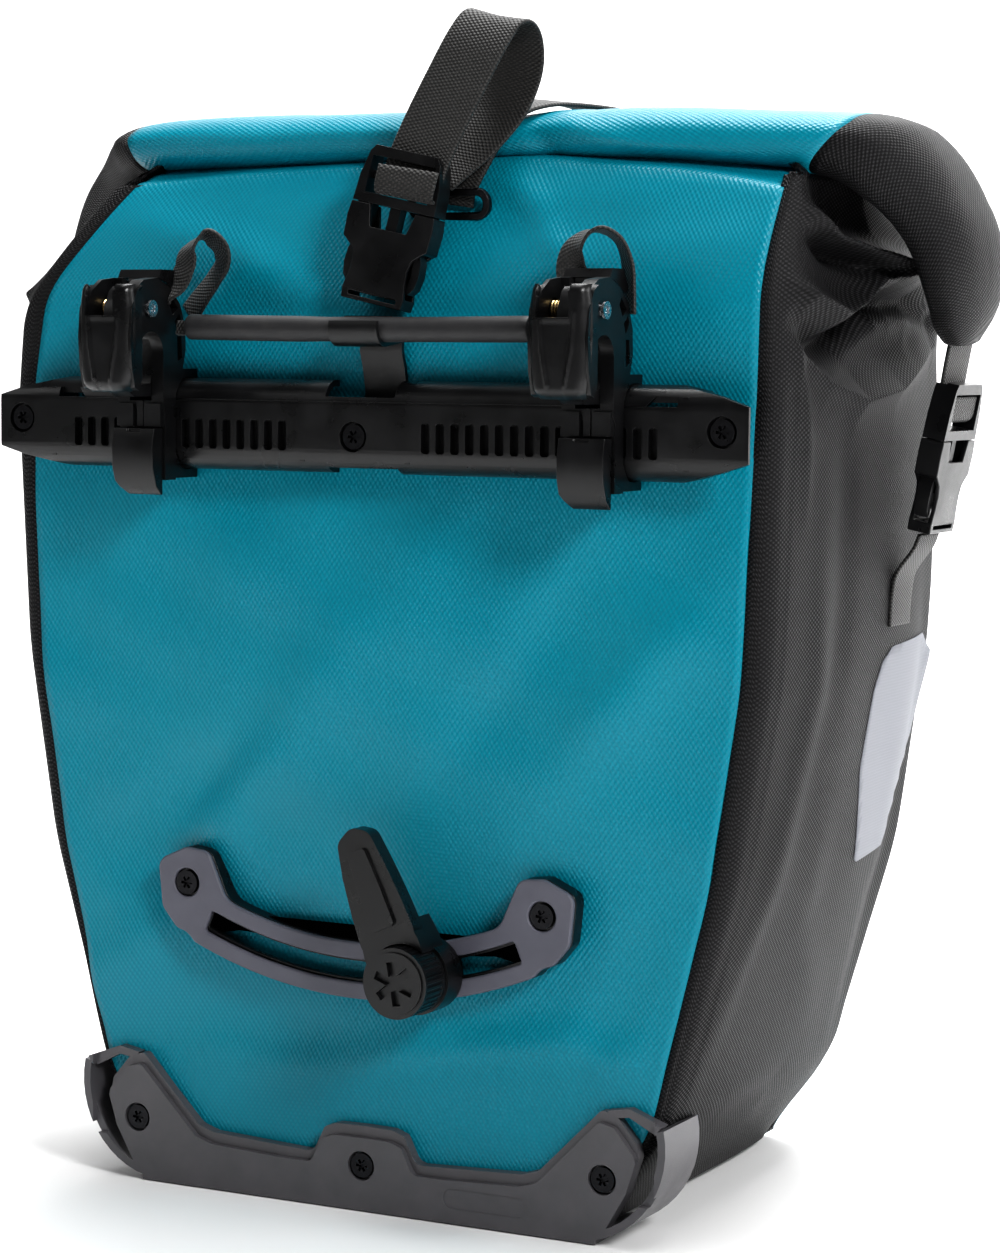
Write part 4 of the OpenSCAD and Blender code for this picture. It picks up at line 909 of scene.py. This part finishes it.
class PANNIER_OT_straps(bpy.types.Operator):
    """Build the webbing: closure strap, its standing loop, side straps and their anchors"""

    bl_idname = "pannier.straps"
    bl_label = "Straps"

    def execute(self, context):
        t = context.scene.pannier_sizes.webbing_t / MM
        web = finish("web")
        tilt = np.array([math.cos(math.radians(12)), 0, -math.sin(math.radians(12))])
        loop = spline(
            [(19, -9.5, 386), (18, -11, 379.5), (17.6, -10.6, 376.4), (17.6, -8.4, 375.4), (17.9, -6.6, 378),
             (20, -4.6, 388), (25, -1.5, 402), (32, 2, 418), (38, 6, 432), (41.5, 11, 440), (43.5, 17, 440.5),
             (44.5, 22, 435),
             (44, 23.5, 424), (40.5, 20, 411), (34, 14, 400), (27, 9, 392), (21, 4, 385)], 90)
        webbing("strap_loop_web", loop, tilt, 25, t, web, "closure_plug", ("strap_loop",))
        over = spline(
            [(23, 9, 374), (24, 9.5, 380), (27, 13, 389), (31, 17.5, 399), (36, 24, 408), (42, 36, 412),
             (48, 60, 413),
             (52, 86, 411.5), (53, 101, 405), (53, 108, 394), (52, 122, 378), (51, 142, 358), (50, 163, 338),
             (50, 173.5, 326), (50, 178.6, 300), (50, 180.4, 262), (50, 181.5, 205)], 120)
        webbing("closure_strap_web", over, (1, 0.05, -0.1), 25, t, web, "bag", ("closure_strap",))
        for side, sign in (("left", -1), ("right", 1)):
            strap_node, anchor_node = f"{side}_side_strap", f"{side}_side_anchor"
            low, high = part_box(strap_node)
            y = (low.y + high.y) / 2 / MM - Y_BACK / MM
            lean = math.radians(11)
            foot = np.array([176.0, y, 255.0])

            def along(b, h, q=0.0):
                return (sign * (foot[0] - b * math.cos(lean) + h * math.sin(lean)), y + q,
                        foot[2] + b * math.sin(lean) + h * math.cos(lean))

            path = spline([along(-2.7, 51.6), along(-2.7, 45), along(-1.8, 42.8), along(0, 42), along(1.8, 42.8),
                           along(2.7, 45), along(2.8, 54), along(3, 66), along(3, 88)], 60)
            webbing(f"{side}_strap_web", path, (0, 1, 0), 25, t, web, f"{side}_plug", (strap_node,))
            wall = float(side_right(222)) + 5
            base = spline([(sign * (wall + 0.6), y, 219), (sign * (wall + 1.2), y, 230),
                           (sign * (wall + 3), y, 239), along(1.4, -7), along(0.2, -1.2)], 30)
            webbing(f"{side}_anchor_web", base, (0, 1, 0), 21, t, web, "bag", (anchor_node,))
        return {"FINISHED"}


class PANNIER_OT_grip(bpy.types.Operator):
    """Build the grip sleeve, its strap and the pull loops at the levers"""

    bl_idname = "pannier.grip"
    bl_label = "Grip"

    def execute(self, context):
        web = finish("web")
        low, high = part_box("handle_tube")
        x0, x1 = low.x / MM, high.x / MM
        y, z, r = (low.y + high.y) / 2 / MM - Y_BACK / MM, (low.z + high.z) / 2 / MM, (high.z - low.z) / 2 / MM
        rings = []
        profile = [(0, r - 1.6), (0, r - 0.3), (0.5, r)] + [(q, r) for q in np.linspace(3, x1 - x0 - 3, 50)]
        profile += [(x1 - x0 - 0.5, r), (x1 - x0, r - 0.3), (x1 - x0, r - 1.6), (x1 - x0 - 6, r - 1.6)]
        profile = [(6, r - 1.6)] + profile
        for along, radius in profile:
            flat = 1 - 0.05 * bump(along - 60, 8) - 0.04 * bump(along - 100, 20)
            sag = -0.5 * math.sin(math.pi * along / (x1 - x0))
            rings.append([(x0 + along, y + radius * math.cos(a), z + sag + radius * flat * math.sin(a))
                          for a in np.linspace(0, 2 * math.pi, 33)[:-1]])
        lofted("grip_sleeve", rings, finish("sleeve"), "grip", ("handle_tube",))
        low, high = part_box("handle_strap")
        ends = np.linspace(low.x / MM, high.x / MM, 40)
        core = [(x, y + 0.3 * math.sin(x / 7), z - 0.4) for x in ends]
        webbing("grip_strap_web", core, (0, 0.25, 1), 5.4, 2.6, web, "grip", ("handle_strap",))
        # each loop leaves its lever in front, turns over and goes back down behind the hook: x from the lever, y, z
        right_way = [(-7, -17.8, 341), (-9.8, -17.7, 347), (-10.6, -17.6, 352), (-9, -17.4, 357.6),
                     (-4, -16.4, 362.3), (1, -14.4, 363), (5.6, -11.6, 359), (7.8, -9.8, 351),
                     (7.8, -9.6, 343), (7.4, -9.8, 334)]
        left_way = [(7, -17.8, 340), (11.5, -17.6, 344.5), (14.6, -17.3, 350.5), (15.8, -16.3, 357.5),
                    (20.5, -13.2, 362.2), (25.6, -10.6, 358.5), (26, -9.4, 352.3), (22, -9.0, 346.3),
                    (16.8, -9.6, 339.5), (11.5, -9.6, 333)]
        # the strap's width points this way at its start, halfway and at its end
        right_turn = (1, 0.1, 0), (0.5, -0.85, 0.1), (0.8, -0.6, 0)
        left_turn = (0.8, -0.1, 0.55), (0.75, -0.55, 0.2), (0.75, -0.45, -0.35)
        for side, way, (start, middle, end) in (("left", left_way, left_turn), ("right", right_way, right_turn)):
            low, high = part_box(f"{side}_lever")
            x = (low.x + high.x) / 2 / MM
            path = spline([(x + dx, y, z) for dx, y, z in way], 60)
            turn = np.linspace(0, 1, 60)[:, None]
            across = np.where(turn < 0.5, np.array([start]) * (1 - 2 * turn) + np.array([middle]) * 2 * turn,
                              np.array([middle]) * (2 - 2 * turn) + np.array([end]) * (2 * turn - 1))
            webbing(f"{side}_pull_loop", path, across, 13, 1.3, web, f"{side}_lever", (f"{side}_lever_strap",))
        return {"FINISHED"}


class PANNIER_OT_mouldings(bpy.types.Operator):
    """Round off the moulded pieces and give them their finish"""

    bl_idname = "pannier.mouldings"
    bl_label = "Mouldings"

    def execute(self, context):
        edge = context.scene.pannier_sizes.edge_r / MM
        for node, look, radius in (
            ("top_rail", "plastic", 0.3), ("left_hook", "plastic", edge), ("right_hook", "plastic", edge),
            ("left_lever", "plastic", edge), ("right_lever", "plastic", edge),
            ("left_rail_latch", "plastic", edge), ("right_rail_latch", "plastic", edge),
            ("anchor_strip", "plastic", 0.25), ("buckle_socket", "plastic", edge), ("buckle_plug", "plastic", edge),
            ("left_side_socket", "plastic", edge), ("right_side_socket", "plastic", edge),
            ("left_side_plug", "plastic", edge), ("right_side_plug", "plastic", edge),
            ("foot_rail", "plastic", edge), ("foot_rail_face", "face", 0.9), ("foot_hook", "plastic", 1.2),
            ("foot_knob", "plastic", 0.25), ("edge_protector", "guard", 1.3), ("d_ring", "screw", 0.5),
        ):
            softened_copy(node, f"{node}_moulded", finish(look), radius)
        for side in ("left", "right"):
            nose_flap(side)
        return {"FINISHED"}


def nose_flap(side):
    """The shield-shaped face of a hook, bulged, with a window for the spring and two converging ridges."""
    low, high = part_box(f"{side}_hook")
    centre, face = (low.x + high.x) / 2 / MM, low.y / MM - Y_BACK / MM
    bottom, top, window = 304.4, 343.8, 331.8  # heights; the window is open above its sill
    half = table([(bottom, 8.2), (306, 10), (311, 11.2), (325, 12), (336, 11.8), (top, 10.8)], 1.2)
    rows, columns = 66, 44
    u = np.linspace(-1, 1, columns)
    points = np.zeros((rows, columns, 3))
    for i, z in enumerate(np.linspace(bottom, top, rows)):
        x, level = u * half(z), np.full(columns, z)
        edge = 3.4 * np.abs(u) ** 9
        edge = edge + 3.2 * np.clip((308 - z) / 3.6, 0, 1) ** 2 + 1.6 * np.clip((z - 341) / 2.8, 0, 1) ** 2
        bulge = 1.5 * (1 - u * u) * bump(z - 322, 30)
        gap, _ = to_line(np.abs(x), level, [(6.6, 334), (5.8, 322), (3.4, 309)])
        ridge = np.clip(1 - gap / 0.9, 0, 1)
        inside = np.clip((6.6 - (334 - z) * 0.12 - np.abs(x)) / 1.0, 0, 1) * np.clip((332 - z) / 2, 0, 1)
        depth = face - 0.5 - bulge + edge - 0.55 * ridge + 0.35 * inside
        points[i] = np.stack([centre + x, depth, level], 1)
    faces = []
    for f in grid_faces(rows, columns):
        x, _, z = points[f[0] // columns, f[0] % columns]
        if z <= window or not -8.2 < x - centre < 4.4:
            faces.append(f)
    mesh = build_mesh(f"{side}_nose_flap", points.reshape(-1, 3), faces, surface_lengths(points).reshape(-1, 2))
    piece = make_object(f"{side}_nose_flap", mesh, finish("plastic"), f"{side}_hook")
    add_modifier(piece, "SOLIDIFY", thickness=1.8 * MM, offset=-1)
    add_modifier(piece, "BEVEL", width=0.35 * MM, segments=2, limit_method="ANGLE", angle_limit=math.radians(50))
    return piece


class PANNIER_OT_metal(bpy.types.Operator):
    """Finish the pins, springs, screws, nuts and hidden pieces"""

    bl_idname = "pannier.metal"
    bl_label = "Metal and hidden pieces"

    def execute(self, context):
        for side in ("left", "right"):
            finish_node(f"{side}_lever_pin", finish("steel"))
            finish_node(f"{side}_lever_spring", finish("spring"))
        for node in ("rail_screws", "foot_rail_screws", "protector_screws"):
            finish_node(node, finish("screw"))
        for node in ("rail_nuts", "foot_rail_nuts", "protector_nut"):
            finish_node(node, finish("steel"))
        finish_node("foot_slider", finish("screw"))
        finish_node("back_stiffener", finish("board"))
        return {"FINISHED"}


PATCH_OUTLINE = [  # y and z of the reflective patch's corners
    (108, 211), (150, 213), (162, 205), (157, 180), (142, 138), (136, 130), (106, 128), (92, 166), (94, 196),
    (99, 206),
]


def nearest_on_outline(outline, y, z):
    """The closest point of a closed outline, and whether (y, z) lies inside it."""
    best, hit = (1e9, None), False
    for p, q in zip(outline, np.roll(outline, -1, 0)):
        if (p[1] > z) != (q[1] > z) and y < (q[0] - p[0]) * (z - p[1]) / (q[1] - p[1]) + p[0]:
            hit = not hit
        d = q - p
        near = p + np.clip(np.dot((y, z) - p, d) / np.dot(d, d), 0, 1) * d
        gap = math.hypot(y - near[0], z - near[1])
        if gap < best[0]:
            best = (gap, near)
    return best[1], hit


def reflective_patch(side, sign):
    """A film patch that follows the gusset's bulge: a 3 mm grid whose rim is pulled in to the outline."""
    outline, step = np.array(PATCH_OUTLINE, float), 3.0
    bm = bmesh.new()
    layer = bm.loops.layers.uv.new("cloth")
    grid = {}
    for y in np.arange(90, 166, step):
        for z in np.arange(126, 216, step):
            if not nearest_on_outline(outline, y + step / 2, z + step / 2)[1]:
                continue
            cell = [(y, z), (y + step, z), (y + step, z + step), (y, z + step)]
            for a, b in cell:
                if (a, b) not in grid:
                    wall = float(side_right(b) if sign > 0 else side_left(b))
                    out = float(side_relief(np.array([a]), np.array([b]), sign)[0])
                    grid[a, b] = bm.verts.new(to_frame([(sign * (wall + out + 0.7), a, b)])[0])
            face = bm.faces.new([grid[c] for c in cell])
            for loop, (a, b) in zip(face.loops, cell):
                loop[layer].uv = (a * MM, b * MM)
    for vert in bm.verts:
        if vert.is_boundary:
            near, _ = nearest_on_outline(outline, vert.co.y / MM - Y_BACK / MM, vert.co.z / MM)
            vert.co.y, vert.co.z = near[0] * MM + Y_BACK, near[1] * MM
    bmesh.ops.recalc_face_normals(bm, faces=bm.faces)
    mesh = bpy.data.meshes.new(f"{side}_patch")
    bm.to_mesh(mesh)
    bm.free()
    piece = make_object(f"{side}_patch", mesh, finish("tape"), "bag", (f"{side}_reflector",))
    add_modifier(piece, "SOLIDIFY", thickness=0.4 * MM, offset=0)


class PANNIER_OT_trim(bpy.types.Operator):
    """Build the reflective patches and the hung pocket"""

    bl_idname = "pannier.trim"
    bl_label = "Trim"

    def execute(self, context):
        reflective_patch("left", -1)
        reflective_patch("right", 1)
        low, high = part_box("inner_pocket")
        half = (high.x - low.x) / 2 / MM
        y0, y1 = low.y / MM - Y_BACK / MM, high.y / MM - Y_BACK / MM
        rings = []
        for z in np.linspace(low.z, high.z, 24) / MM:
            middle = (y0 + y1) / 2 + 0.16 * math.sin((z - low.z / MM) / 40)
            ring = []
            for k in range(60):
                c, q = math.cos(2 * math.pi * k / 60), math.sin(2 * math.pi * k / 60)
                depth = (y1 - y0) / 2 * math.copysign(abs(q) ** 0.5, q)
                ring.append((half * math.copysign(abs(c) ** 0.3, c), middle + depth, z))
            rings.append(ring)
        piece = lofted("hung_pocket", rings, finish("black"), "bag", ("inner_pocket",), caps=False)
        add_modifier(piece, "SOLIDIFY", thickness=0.6 * MM, offset=-1)
        return {"FINISHED"}


class PANNIER_PT_panel(bpy.types.Panel):
    """Lists the steps and the colours in the sidebar"""

    bl_idname = "PANNIER_PT_panel"
    bl_label = "Pannier bag"
    bl_space_type = "VIEW_3D"
    bl_region_type = "UI"
    bl_category = "Pannier"

    def draw(self, context):
        for operator in OPERATORS:
            self.layout.operator(operator.bl_idname)
        for group in (context.scene.pannier_colours, context.scene.pannier_sizes):
            for key in group.__annotations__:
                self.layout.prop(group, key)


OPERATORS = (
    PANNIER_OT_stage,
    PANNIER_OT_shell,
    PANNIER_OT_closure,
    PANNIER_OT_straps,
    PANNIER_OT_grip,
    PANNIER_OT_mouldings,
    PANNIER_OT_metal,
    PANNIER_OT_trim,
)
CLASSES = (PANNIER_PG_colours, PANNIER_PG_sizes, *OPERATORS, PANNIER_PT_panel)


def register():
    for cls in CLASSES:
        bpy.utils.register_class(cls)
    bpy.types.Scene.pannier_colours = bpy.props.PointerProperty(type=PANNIER_PG_colours)
    bpy.types.Scene.pannier_sizes = bpy.props.PointerProperty(type=PANNIER_PG_sizes)


def unregister():
    del bpy.types.Scene.pannier_colours
    del bpy.types.Scene.pannier_sizes
    for cls in reversed(CLASSES):
        bpy.utils.unregister_class(cls)


def main():
    """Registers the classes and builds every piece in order."""
    register()
    for operator in OPERATORS:
        group, name = operator.bl_idname.split(".")
        getattr(getattr(bpy.ops, group), name)()


if __name__ == "__main__":
    main()
